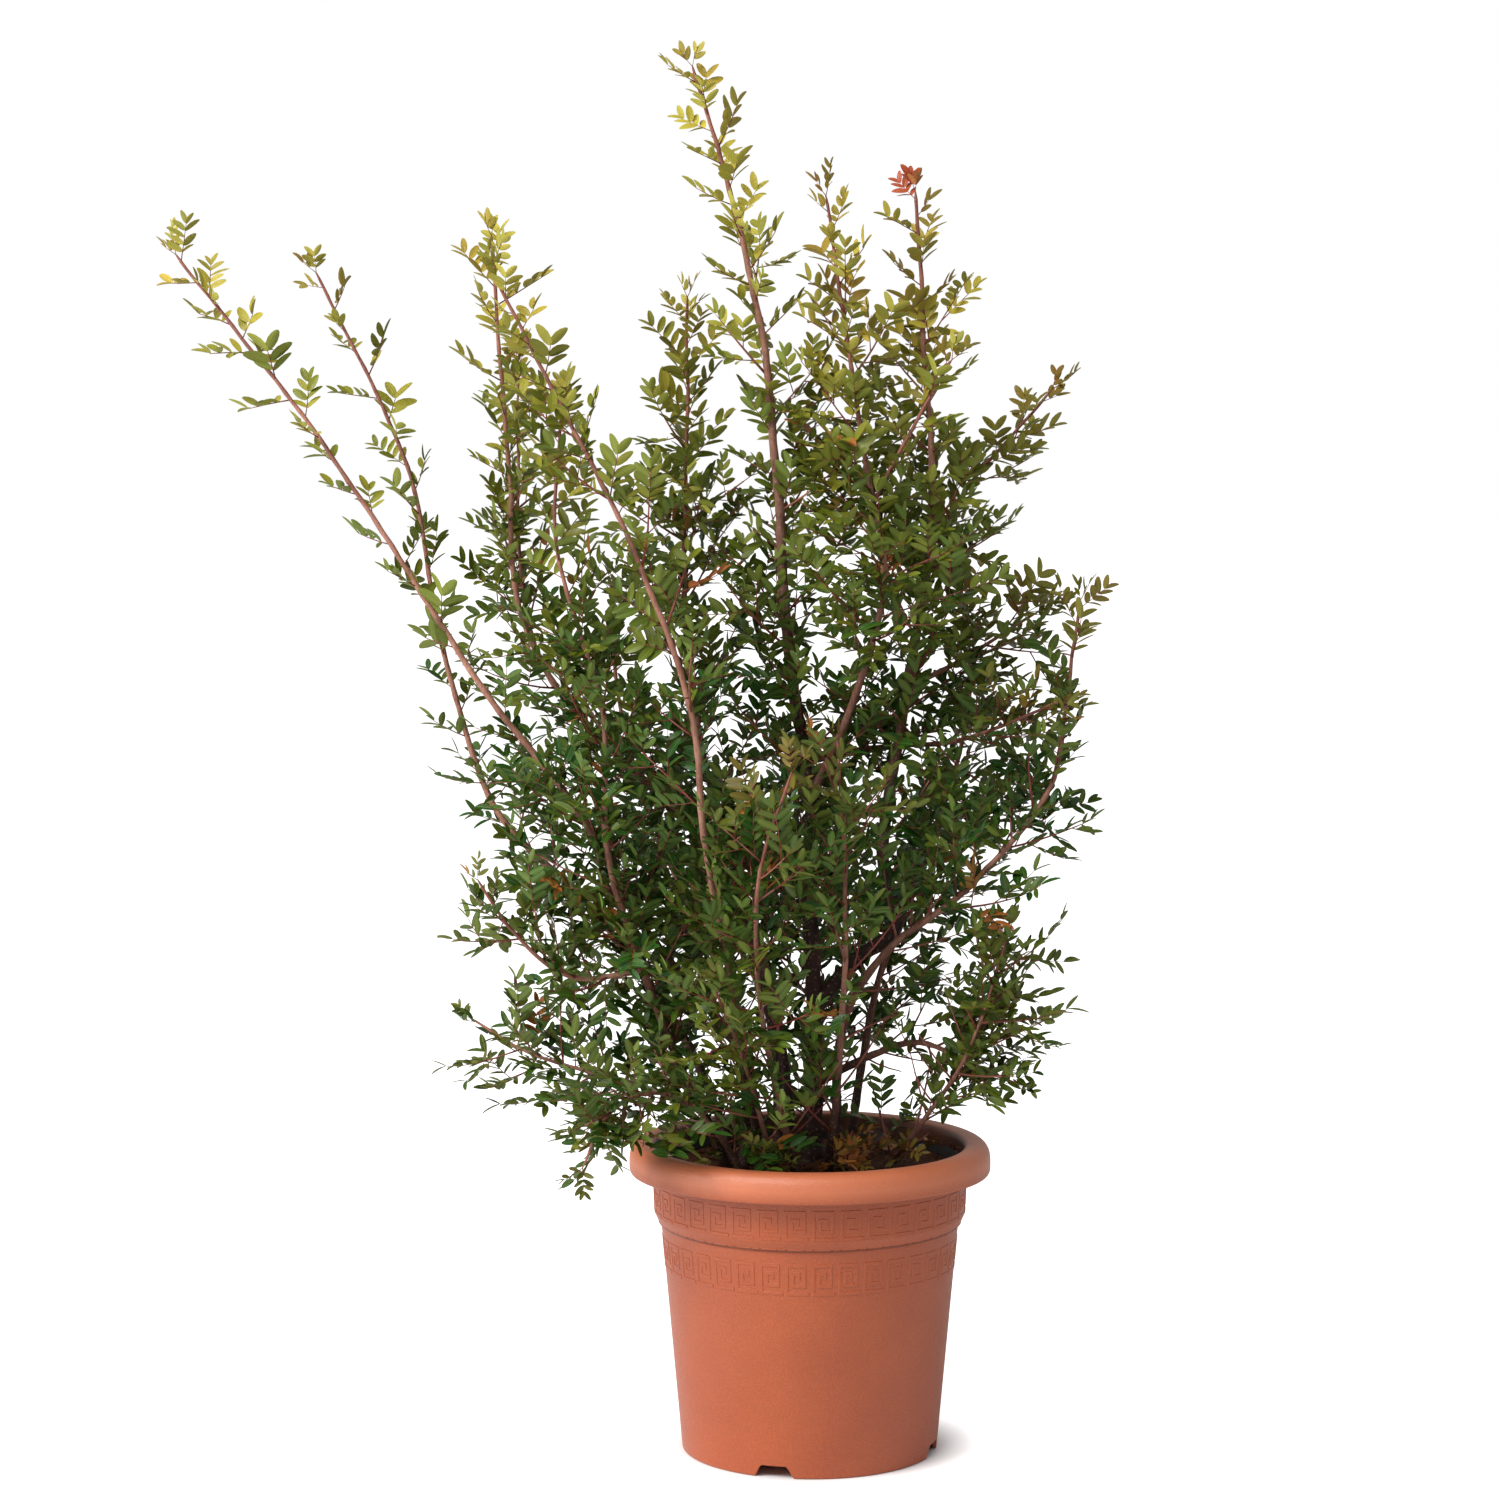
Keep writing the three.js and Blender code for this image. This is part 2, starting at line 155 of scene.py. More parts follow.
# %% [markdown]
# ## Light and floor
# A plain white studio. The surround shows pure white behind the tree but lights it less
# than it shows, so that the inside of the crown stays dark. A large soft lamp stands high
# on the left in front of the tree. Another, nearer the camera, reaches the pot and its
# rim in front of the leaves, and a weak one stands low on the left. The floor is white too, and
# glows a little where it is seen, which leaves only a faint shadow round the pot.

# %% Studio
SURROUND_LIGHT = 0.42
LAMPS = {"key": ((-2.6, -2.1, 3.9), (-0.1, 0, 0.6), 1.9, 158),
         "front": ((-1.1, -2.9, 3.2), (0, 0, 0.4), 1.2, 36),
         "side": ((-2.9, -1.0, 1.2), (0, 0, 0.3), 0.9, 38)}  # place, aim, size in metres, watts
scene.view_settings.view_transform = "Standard"

for name, (place, aim, size, power) in LAMPS.items():
    lamp = bpy.data.lights.new(name, "AREA")
    lamp.energy = power
    lamp.size = size
    holder = place_in_scene(name, lamp)
    holder.location = place
    holder.rotation_euler = (Vector(aim) - Vector(place)).to_track_quat("-Z", "Y").to_euler()

world = bpy.data.worlds.new("studio")
world.use_nodes = True
scene.world = world
sky = world.node_tree
seen = node(sky, "ShaderNodeLightPath").outputs["Is Camera Ray"]
sky.nodes["Background"].inputs["Color"].default_value = (1, 1, 1, 1)
strength = span(sky, seen, 0.0, 1.0, SURROUND_LIGHT, 1.0)
sky.links.new(strength, sky.nodes["Background"].inputs["Strength"])
print(len(LAMPS), "lamps")

# %% Floor
FLOOR_SIZE = 30
FLOOR_DROP = 0.0005
FLOOR_GLOW = 0.84
GLOW_FROM, GLOW_FULL = 0.12, 0.17  # distance from the middle of the pot, in metres


def mesh_of(bm, name):
    """Turns a bmesh into a mesh and sets the bmesh free."""
    mesh = bpy.data.meshes.new(name)
    bm.to_mesh(mesh)
    bm.free()
    return mesh


bm = bmesh.new()
bmesh.ops.create_grid(bm, x_segments=1, y_segments=1, size=FLOOR_SIZE)
floor = place_in_scene("floor", mesh_of(bm, "floor"))
floor.location.z = -FLOOR_DROP
floor_paint, t, bsdf = new_material("floor_paint")
bsdf.inputs["Base Color"].default_value = (0.85, 0.85, 0.85, 1)
bsdf.inputs["Roughness"].default_value = 0.9
bsdf.inputs["Emission Color"].default_value = (1, 1, 1, 1)
distance = node(t, "ShaderNodeVectorMath", {0: place_of(t)}, operation="LENGTH").outputs["Value"]
seen = node(t, "ShaderNodeLightPath").outputs["Is Camera Ray"]
glow = maths(t, "MULTIPLY", span(t, distance, GLOW_FROM, GLOW_FULL, 0.0, FLOOR_GLOW), seen)
t.links.new(glow, bsdf.inputs["Emission Strength"])
floor.data.materials.append(floor_paint)
print("floor laid")

# %% [markdown]
# ## Clouds and grain
# Two effects turn up on nearly every surface here: a broad, cloudy change of tone, and a
# fine grain. Each is built once as a node group with named inputs, and then dropped into
# a material with its own sizes.

# %% Shared groups: clouds and grain


def new_group(name, inputs, outputs):
    group = bpy.data.node_groups.new(name, "ShaderNodeTree")
    for label, kind, value in inputs:
        socket = group.interface.new_socket(label, in_out="INPUT", socket_type=kind)
        if value is not None:
            socket.default_value = value
    for label, kind in outputs:
        group.interface.new_socket(label, in_out="OUTPUT", socket_type=kind)
    return group, group.nodes.new("NodeGroupInput"), group.nodes.new("NodeGroupOutput")


clouds, g_in, g_out = new_group(
    "clouds",
    [("Place", "NodeSocketVector", None), ("Size", "NodeSocketFloat", 0.05)],
    [("Mask", "NodeSocketFloat")],
)
frequency = maths(clouds, "DIVIDE", 1.0, g_in.outputs["Size"])
soft = node(clouds, "ShaderNodeTexNoise",
            {"Vector": g_in.outputs["Place"], "Scale": frequency, "Detail": 3.0, "Roughness": 0.55})
clouds.links.new(span(clouds, soft.outputs[0], 0.32, 0.68), g_out.inputs["Mask"])

grain, g_in, g_out = new_group(
    "grain",
    [("Place", "NodeSocketVector", None), ("Size", "NodeSocketFloat", 0.001)],
    [("Mask", "NodeSocketFloat"), ("Dots", "NodeSocketFloat")],
)
frequency = maths(grain, "DIVIDE", 1.0, g_in.outputs["Size"])
speck = node(grain, "ShaderNodeTexNoise",
             {"Vector": g_in.outputs["Place"], "Scale": frequency, "Detail": 2.0, "Roughness": 0.7})
cells = node(grain, "ShaderNodeTexVoronoi", {"Vector": g_in.outputs["Place"], "Scale": frequency})
grain.links.new(speck.outputs[0], g_out.inputs["Mask"])
grain.links.new(span(grain, cells.outputs["Distance"], 0.1, 0.35, 1.0, 0.0), g_out.inputs["Dots"])


def add_clouds(tree, place, size):
    made = node(tree, "ShaderNodeGroup", node_tree=clouds, inputs={"Place": place, "Size": size})
    return made.outputs["Mask"]


def add_grain(tree, place, size):
    made = node(tree, "ShaderNodeGroup", node_tree=grain, inputs={"Place": place, "Size": size})
    return made.outputs["Mask"], made.outputs["Dots"]


def times(tree, a, b):
    return maths(tree, "MULTIPLY", a, b)


def dress(tree, bsdf, base, roughness, relief, depth, strength):
    """Wires a finish: its colour, its roughness, and relief of this depth in metres."""
    made = node(tree, "ShaderNodeBump", {"Height": relief, "Distance": depth, "Strength": strength})
    tree.links.new(base, bsdf.inputs["Base Color"])
    tree.links.new(roughness, bsdf.inputs["Roughness"])
    tree.links.new(made.outputs["Normal"], bsdf.inputs["Normal"])


print("groups:", [g.name for g in bpy.data.node_groups])

# %% [markdown]
# ## The finishes of the pots and the soil
# The outer pot is moulded plastic, coloured through like clay: satin, with a fine sandy
# grain that scatters the highlight, and slightly darker clouds where the plastic flowed.
# Painted light marks the pot too: a painted highlight makes the top of its rim paler, a thin
# line of painted shade darkens the foot of the collar, and painted shade, with a soil stain
# in it, darkens the inner wall above the nursery pot.
# The nursery pot is thin black plastic, dusty with soil.

# %% Terracotta-coloured plastic
clay, t, bsdf = new_material("terracotta_plastic")
where = place_of(t)
sand, dots = add_grain(t, where, 0.0014)
broad = add_clouds(t, where, 0.07)
body = mix_colours(t, broad, colour(182, 85, 38), colour(173, 78, 34))
body = mix_colours(t, span(t, sand, 0.35, 0.7, 0.0, 0.5), body, colour(148, 66, 34))
body = mix_colours(t, times(t, dots, 0.2), body, colour(226, 152, 108))
parts = node(t, "ShaderNodeSeparateXYZ", {"Vector": where})
flat = node(t, "ShaderNodeCombineXYZ", {0: parts.outputs[0], 1: parts.outputs[1]})
radius = node(t, "ShaderNodeVectorMath", {0: flat.outputs[0]}, operation="LENGTH").outputs["Value"]
height = parts.outputs[2]
# Painted highlight: the rim's top and outer roll are made paler where the light falls on them.
painted_rim_highlight = times(t, span(t, height, 0.272, 0.284), span(t, radius, 0.148, 0.153, 0.0, 0.5))
body = mix_colours(t, painted_rim_highlight, body, colour(226, 136, 96))
# Painted shade: a thin dark line at the foot of the collar, where the step casts shade.
painted_collar_shade = times(t, span(t, height, 0.2208, 0.2216), span(t, height, 0.2234, 0.2238, 0.7, 0.0))
body = mix_colours(t, painted_collar_shade, body, colour(84, 40, 24))
# Painted shade with a soil stain in it: the inner wall above the nursery pot is darkened in cloudy
# patches, as where shade falls inside the rim.
painted_shade_and_stain = times(t, span(t, radius, 0.150, 0.154, 1.0, 0.0), span(t, height, 0.272, 0.276))
painted_shade_and_stain = times(t, painted_shade_and_stain, span(t, broad, 0.0, 1.0, 0.7, 0.95))
body = mix_colours(t, painted_shade_and_stain, body, colour(66, 36, 24))
bsdf.inputs["Specular IOR Level"].default_value = 0.65
dress(t, bsdf, body, span(t, sand, 0.3, 0.7, 0.28, 0.44), sand, 0.0006, 0.9)

# %% Black nursery plastic
black, t, bsdf = new_material("black_plastic")
where = place_of(t)
sand, _ = add_grain(t, where, 0.0016)
dust = times(t, add_clouds(t, where, 0.02), 0.45)
dusty = mix_colours(t, dust, colour(38, 42, 47), colour(82, 70, 58))
dress(t, bsdf, dusty, span(t, dust, 0.0, 0.45, 0.3, 0.7), sand, 0.0003, 0.6)

# %% Potting soil
earth, t, bsdf = new_material("potting_soil")
where = place_of(t)
crumb, dots = add_grain(t, where, 0.0035)
damp = add_clouds(t, where, 0.03)
tone = mix_colours(t, span(t, crumb, 0.35, 0.65), colour(68, 35, 20), colour(122, 74, 43))
tone = mix_colours(t, times(t, damp, 0.6), tone, colour(54, 28, 17))
tone = mix_colours(t, times(t, dots, 0.3), tone, colour(104, 74, 50))
bsdf.inputs["Specular IOR Level"].default_value = 0.2
dress(t, bsdf, tone, span(t, damp, 0.0, 1.0, 0.95, 0.7), crumb, 0.003, 1.0)
print("finishes:", clay.name, black.name, earth.name)

# %% [markdown]
# ## Handing a piece over
# Every finished piece goes the same way: its mesh is closed and smooth-shaded, its object
# stays at the origin, it rides on the frame, and it stands in for the plain solids that
# it was built round.

# %% Finishing helper


def finish_piece(name, bm, materials, stands_for=(), smooth_angle=40):
    """Makes an object from bm and hands it to the frame."""
    mesh = mesh_of(bm, name)
    for material in materials:
        mesh.materials.append(material)
    piece = place_in_scene(name, mesh)
    for face in mesh.polygons:
        face.use_smooth = True
    if smooth_angle:
        mesh.set_sharp_from_angle(angle=radians(smooth_angle))
    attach(piece, "root")
    if stands_for:
        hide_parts(*stands_for)
    print(f"{name}: {len(mesh.polygons)} faces")
    return piece


# %% [markdown]
# ## The outer pot
# A moulded pot is a solid of revolution, so its wall is drawn once as a line of points and
# spun about the middle. The line runs from the middle of the base, out and up the outside,
# over the rolled rim and back down the inside. More points go where a curve is, and rows
# of points are added where the key pattern will be raised.

# %% Pot profile
MM = 0.001
low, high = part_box("pot")
RIM = (high.x - low.x) / 2
TOP = high.z
RIM_HANG = 28 * MM
WALL = 3.2 * MM
COLLAR_TOP = RIM - 23 * MM
COLLAR_FOOT = COLLAR_TOP - 1.8 * MM
STEP = TOP - RIM_HANG - 49 * MM
BODY_TOP = COLLAR_FOOT - 6 * MM
BASE = 124 * MM
FOOT = 12 * MM
PAD = 42 * MM


def lerp(a, b, t):
    return a + (b - a) * t


def body_radius(z):
    return lerp(BASE, BODY_TOP, z / STEP)


def collar_radius(z):
    return lerp(COLLAR_FOOT, COLLAR_TOP, (z - STEP) / (TOP - RIM_HANG - STEP))


def rounded(points, per_gap):
    """A smooth line through flat points, with per_gap new points in each gap."""
    line = []
    for i in range(len(points) - 1):
        a, b = points[i], points[i + 1]
        before = points[max(i - 1, 0)]
        after = points[min(i + 2, len(points) - 1)]
        for k in range(per_gap):
            t = k / per_gap
            line.append(tuple(
                0.5 * (2 * b0 + (b1 - p) * t + (2 * p - 5 * b0 + 4 * b1 - n) * t * t
                       + (3 * b0 - p - 3 * b1 + n) * t ** 3)
                for p, b0, b1, n in zip(before, a, b, after)))
    line.append(points[-1])
    return line


BAND_ROWS = 8
UPPER_BAND = (TOP - 67 * MM, TOP - 38 * MM)
LOWER_BAND = (TOP - 121 * MM, TOP - 90 * MM)


def band_rows(band):
    return [lerp(*band, i / BAND_ROWS) for i in range(BAND_ROWS + 1)]


hang = TOP - RIM_HANG
inside = COLLAR_TOP - WALL
under = [(0, 0), (PAD - 2 * MM, 0), (PAD, 0.8 * MM), (PAD + 4 * MM, FOOT),
         (body_radius(FOOT) - WALL, FOOT), (BASE - WALL, 0), (BASE - 0.8 * MM, 0), (BASE, 0.8 * MM)]
body_wall = [(body_radius(z), z) for z in [0.02, 0.06, 0.1, 0.14] + band_rows(LOWER_BAND)]
step_line = [(BODY_TOP, STEP - 2 * MM), (BODY_TOP - 1.4 * MM, STEP - 1.4 * MM),
             (BODY_TOP - 1.4 * MM, STEP + 0.4 * MM), (BODY_TOP + 2.2 * MM, STEP + 0.5 * MM),
             (BODY_TOP + 2.8 * MM, STEP + 1.2 * MM),
             (COLLAR_FOOT - 0.6 * MM, STEP + 7 * MM), (COLLAR_FOOT + 0.2 * MM, STEP + 8.6 * MM)]
collar_wall = [(collar_radius(z), z) for z in band_rows(UPPER_BAND)] + [(COLLAR_TOP, hang)]
channel = [(COLLAR_TOP + 1 * MM, TOP - 8 * MM), (COLLAR_TOP + 5 * MM, TOP - 4.4 * MM),
           (RIM - 9 * MM, TOP - 4.4 * MM), (RIM - WALL, TOP - 9 * MM), (RIM - WALL, hang)]
roll = rounded([(RIM - 1.2 * MM, hang), (RIM - 0.3 * MM, hang + 2 * MM), (RIM, hang + 8 * MM),
                (RIM - 0.4 * MM, TOP - 12 * MM), (RIM - 2.4 * MM, TOP - 6 * MM),
                (RIM - 6.5 * MM, TOP - 1.8 * MM), (RIM - 12 * MM, TOP),
                (inside + 7 * MM, TOP - 0.4 * MM), (inside + 2.4 * MM, TOP - 2.4 * MM),
                (inside + 0.5 * MM, TOP - 6 * MM), (inside, TOP - 12 * MM)], 3)
inner = [(collar_radius(STEP + 2 * MM) - WALL, STEP), (BODY_TOP - WALL, STEP - 6 * MM),
         (body_radius(FOOT + WALL) - WALL, FOOT + WALL), (PAD + 4 * MM - WALL, FOOT + WALL),
         (PAD - WALL, WALL), (0, WALL)]
profile = under + body_wall + step_line + collar_wall + channel + roll + inner
print(len(profile), "points in the pot's profile")

# %% [markdown]
# A spin joins the last copy of the line to the first. The points on the axis land on top
# of one another, so doubles are merged before the faces are turned outwards. The number of
# steps is a whole number of pattern columns, so the key pattern closes on itself.

# %% Spin the pot


def spun(line, steps):
    """A closed solid of revolution about the upright axis from (radius, height) points."""
    bm = bmesh.new()
    verts = [bm.verts.new((r, 0, z)) for r, z in line]
    edges = [bm.edges.new(pair) for pair in zip(verts, verts[1:])]
    bmesh.ops.spin(bm, geom=verts + edges, cent=(0, 0, 0), axis=(0, 0, 1),
                   angle=2 * pi, steps=steps, use_merge=True)
    bmesh.ops.remove_doubles(bm, verts=bm.verts, dist=1e-6)
    bmesh.ops.recalc_face_normals(bm, faces=bm.faces)
    return bm


KEY = ["#######..",
       "#.....#..",
       "#.###.#..",
       "#.#.#.#..",
       "#.#...#..",
       "#.#####..",
       "#........",
       "########."]
KEY_COLUMNS = len(KEY[0])
UNITS = 36
STEPS = KEY_COLUMNS * UNITS
pot = spun(profile, STEPS)
print("pot spun:", len(pot.faces), "faces")

# %% [markdown]
# The two bands of key pattern are raised lines, under a millimetre high. They could be
# painted as bump, but real relief catches the side light and shows at the outline, so the
# faces that belong to the pattern are inset and lifted, which also slopes their sides.

# %% Raise the key pattern
RELIEF = 0.5 * MM
SLOPE = 0.4 * MM


def in_pattern(face):
    middle = face.calc_center_median()
    radius = hypot(middle.x, middle.y)
    if radius < body_radius(middle.z) - 1.5 * MM or radius > RIM - 15 * MM:
        return False
    for bottom, top in (UPPER_BAND, LOWER_BAND):
        if bottom < middle.z < top:
            row = int((top - middle.z) / (top - bottom) * BAND_ROWS)
            column = int((atan2(middle.y, middle.x) / (2 * pi) % 1) * STEPS)
            return KEY[row][column % KEY_COLUMNS] == "#"
    return False


raised = [f for f in pot.faces if in_pattern(f)]
bmesh.ops.inset_region(pot, faces=raised, thickness=SLOPE, depth=RELIEF, use_even_offset=True)
print(len(raised), "faces raised for the key pattern")

# %% [markdown]
# Four notches in the foot let water out. The skirt's lower edge is lifted there, steep at
# the sides and flat on top, which is cheaper and cleaner than cutting. The four drain holes
# in the floor are real cuts, made with cylinders and a Boolean modifier, which is applied.

# %% Foot notches
NOTCH_AT = radians(-106.8)
NOTCH_HALF_TOP = 13 * MM
NOTCH_HALF_FOOT = 19 * MM
NOTCH_TALL = 11.5 * MM

lifted = 0
for v in pot.verts:
    radius = hypot(v.co.x, v.co.y)
    if v.co.z > 1.5 * MM or radius < BASE - 8 * MM:
        continue
    turn = (atan2(v.co.y, v.co.x) - NOTCH_AT + pi / 4) % (pi / 2) - pi / 4
    across = abs(turn) * BASE
    share = min(1, max(0, (NOTCH_HALF_FOOT - across) / (NOTCH_HALF_FOOT - NOTCH_HALF_TOP)))
    if share > 0:
        rise = share * (NOTCH_TALL - v.co.z)
        grow = 1 + rise * (BODY_TOP - BASE) / STEP / radius
        v.co = Vector((v.co.x * grow, v.co.y * grow, v.co.z + rise))
        lifted += 1
print(lifted, "points lifted for the notches")

pot_piece = finish_piece("plant_pot", pot, [clay], ["pot"], 32)

# %% Drain holes
HOLES = 4
HOLE_CIRCLE = 84 * MM
HOLE_RADIUS = 6 * MM

holes = bmesh.new()
for i in range(HOLES):
    turn = NOTCH_AT + (i + 0.5) * 2 * pi / HOLES
    place = (HOLE_CIRCLE * cos(turn), HOLE_CIRCLE * sin(turn), FOOT + WALL / 2)
    bmesh.ops.create_cone(holes, cap_ends=True, segments=24, radius1=HOLE_RADIUS,
                          radius2=HOLE_RADIUS, depth=4 * WALL, matrix=Matrix.Translation(place))
drill = place_in_scene("drill", mesh_of(holes, "drill"))
cut = pot_piece.modifiers.new("drain_holes", "BOOLEAN")
cut.operation = "DIFFERENCE"
cut.object = drill
cut.solver = "EXACT"
bpy.context.view_layer.update()
settled = bpy.context.evaluated_depsgraph_get()
drilled = bpy.data.meshes.new_from_object(pot_piece.evaluated_get(settled))
pot_piece.modifiers.clear()
pot_piece.data = drilled
bpy.data.objects.remove(drill)
print("pot with drain holes:", len(drilled.polygons), "faces")

# %% [markdown]
# ## The nursery pot
# Only the edge of this thin black pot shows, as a dark wavy line just inside the outer
# pot. It is soft, so its edge bulges in and out and is not quite level.

# %% Nursery pot
low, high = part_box("nursery_pot")
LINER_FOOT = low.z
SOIL_RIM = TOP - 24 * MM
LINER_TOP = SOIL_RIM + 7 * MM
LINER_WALL = 1.6 * MM
LINER_HOLE = 9 * MM
LINER_PLAY = 3 * MM
foot_radius = body_radius(LINER_FOOT) - WALL - LINER_PLAY
step_radius = BODY_TOP - WALL - LINER_PLAY


def liner_radius(z):
    return lerp(foot_radius, step_radius, (z - LINER_FOOT) / (STEP - 6 * MM - LINER_FOOT))


heights = [LINER_FOOT, 0.1, 0.2, 0.25, SOIL_RIM]
outer_line = [(liner_radius(z), z) for z in heights + [LINER_TOP - 3 * MM]]
edge = [(liner_radius(LINER_TOP) + 0.4 * MM, LINER_TOP - 0.3 * MM),
        (liner_radius(LINER_TOP) - LINER_WALL, LINER_TOP)]
inner_line = [(liner_radius(z) - LINER_WALL, z)
              for z in heights[:0:-1] + [LINER_FOOT + LINER_WALL]]
hole_line = [(LINER_HOLE, LINER_FOOT + LINER_WALL), (LINER_HOLE, LINER_FOOT)]
line = [hole_line[-1]] + outer_line + edge + inner_line + hole_line
liner = spun(line, 180)
for v in liner.verts:
    share = min(1, max(0, (v.co.z - SOIL_RIM) / (LINER_TOP - SOIL_RIM - 3 * MM)))
    if share > 0:
        turn = atan2(v.co.y, v.co.x)
        wave = sin(7 * turn) + 0.6 * sin(3 * turn + 1)
        crease = noise.noise(Vector((9 * cos(turn), 9 * sin(turn), 0)))
        grow = 1 + share * (1.2 * wave + 1.6 * crease) * MM / hypot(v.co.x, v.co.y)
        v.co = Vector((v.co.x * grow, v.co.y * grow, v.co.z + share * (wave + 2 * crease) * MM))
finish_piece("nursery_pot_wall", liner, [black], ["nursery_pot"])

# %% [markdown]
# ## The soil
# Potting soil is dark, damp and crumbly, with chips of bark and fibre on top. The top of a
# spun drum is roughened with two sizes of noise, and a few hundred small chips are strewn
# over it. Each chip is a squashed ball of twenty faces, so they cost little.

# %% Soil
dice = random.Random(11)
SOIL_PLAY = 0.5 * MM
SOIL_RADIUS = liner_radius(SOIL_RIM) - LINER_WALL - SOIL_PLAY
DOME = 4 * MM
SOIL_RINGS = 46
CHIPS = 420


def soil_height(x, y):
    distance = hypot(x, y)
    clods = 5 * noise.noise(Vector((x, y, 0)) * 38) + 2.2 * noise.noise(Vector((x, y, 3)) * 130)
    edge_fade = min(1, max(0.15, (SOIL_RADIUS - distance) / (12 * MM)))
    return SOIL_RIM + DOME * (1 - (distance / SOIL_RADIUS) ** 2) - 1.5 * MM + clods * MM * edge_fade


foot_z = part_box("soil")[0].z
rings = [(SOIL_RADIUS * (1 - i / SOIL_RINGS), SOIL_RIM) for i in range(SOIL_RINGS + 1)]
foot = [(0, foot_z), (liner_radius(foot_z) - LINER_WALL - SOIL_PLAY, foot_z)]
drum = spun(foot + rings, 150)
for v in drum.verts:
    if v.co.z > SOIL_RIM - 1 * MM:
        v.co.z = soil_height(v.co.x, v.co.y)
for _ in range(CHIPS):
    turn = dice.uniform(0, 2 * pi)
    distance = SOIL_RADIUS * 0.97 * sqrt(dice.random())
    x, y = distance * cos(turn), distance * sin(turn)
    size = dice.uniform(1.2, 4.2) * MM
    squash = [size * dice.uniform(*share) for share in ((0.8, 2.2), (0.5, 1.1), (0.25, 0.6))]
    chip_place = (Matrix.Translation((x, y, soil_height(x, y) + squash[2] * 0.4))
                  @ Matrix.Rotation(dice.uniform(0, pi), 4, "Z")
                  @ Matrix.Rotation(dice.uniform(-0.5, 0.5), 4, "X")
                  @ Matrix.Diagonal((*squash, 1)))
    bmesh.ops.create_icosphere(drum, subdivisions=1, radius=1, matrix=chip_place)
finish_piece("potting_soil_top", drum, [earth], ["soil"], 60)

# %% [markdown]
# ## Bark
# Young shoots of this shrub are red-brown and smooth; older stems turn grey-brown, with
# fine cracks along them and pale corky dots. One material does both: every stem carries a
# value called age, from 0 at a young tip to 1 on the old wood, and the colours follow it.
# Age also rises low down towards the soil, which darkens the stems there: partly older
# bark, partly painted shade under the crown.

# %% Bark material
bark, t, bsdf = new_material("bark")
where = place_of(t)
age = node(t, "ShaderNodeAttribute", attribute_name="age").outputs["Fac"]
stretched = node(t, "ShaderNodeMapping", {"Vector": where, "Scale": (1.0, 1.0, 0.16)}).outputs[0]
cracks, _ = add_grain(t, stretched, 0.0016)
_, corks = add_grain(t, where, 0.0042)
patches = add_clouds(t, where, 0.03)
young = mix_colours(t, patches, colour(142, 60, 47), colour(110, 42, 34))
grown = mix_colours(t, patches, colour(178, 126, 104), colour(134, 86, 69))
old = mix_colours(t, patches, colour(66, 37, 27), colour(38, 20, 14))
skin = mix_colours(t, span(t, age, 0.12, 0.42), young, grown)
skin = mix_colours(t, span(t, age, 0.46, 0.8), skin, old)
skin = mix_colours(t, span(t, cracks, 0.5, 0.72, 0.0, 0.5), skin, colour(48, 32, 26))
corky = times(t, corks, span(t, age, 0.2, 0.5, 0.0, 0.3))
skin = mix_colours(t, corky, skin, colour(186, 156, 132))
relief = maths(t, "ADD", cracks, times(t, corky, 0.8))
dress(t, bsdf, skin, span(t, age, 0.1, 0.6, 0.42, 0.8), relief, 0.0006, 0.8)
print("bark made")

# %% [markdown]
# ## The stems' paths
# The shrub has twenty-six stems worth modelling one by one. Each is noted the way one
# would pin string along the real plant: a few points as across, deep and height above the
# soil, in millimetres. With them go the stem it grows from, its thickness at foot and tip,
# and where its leaves begin and how far they reach. The frame's solids have the same paths.

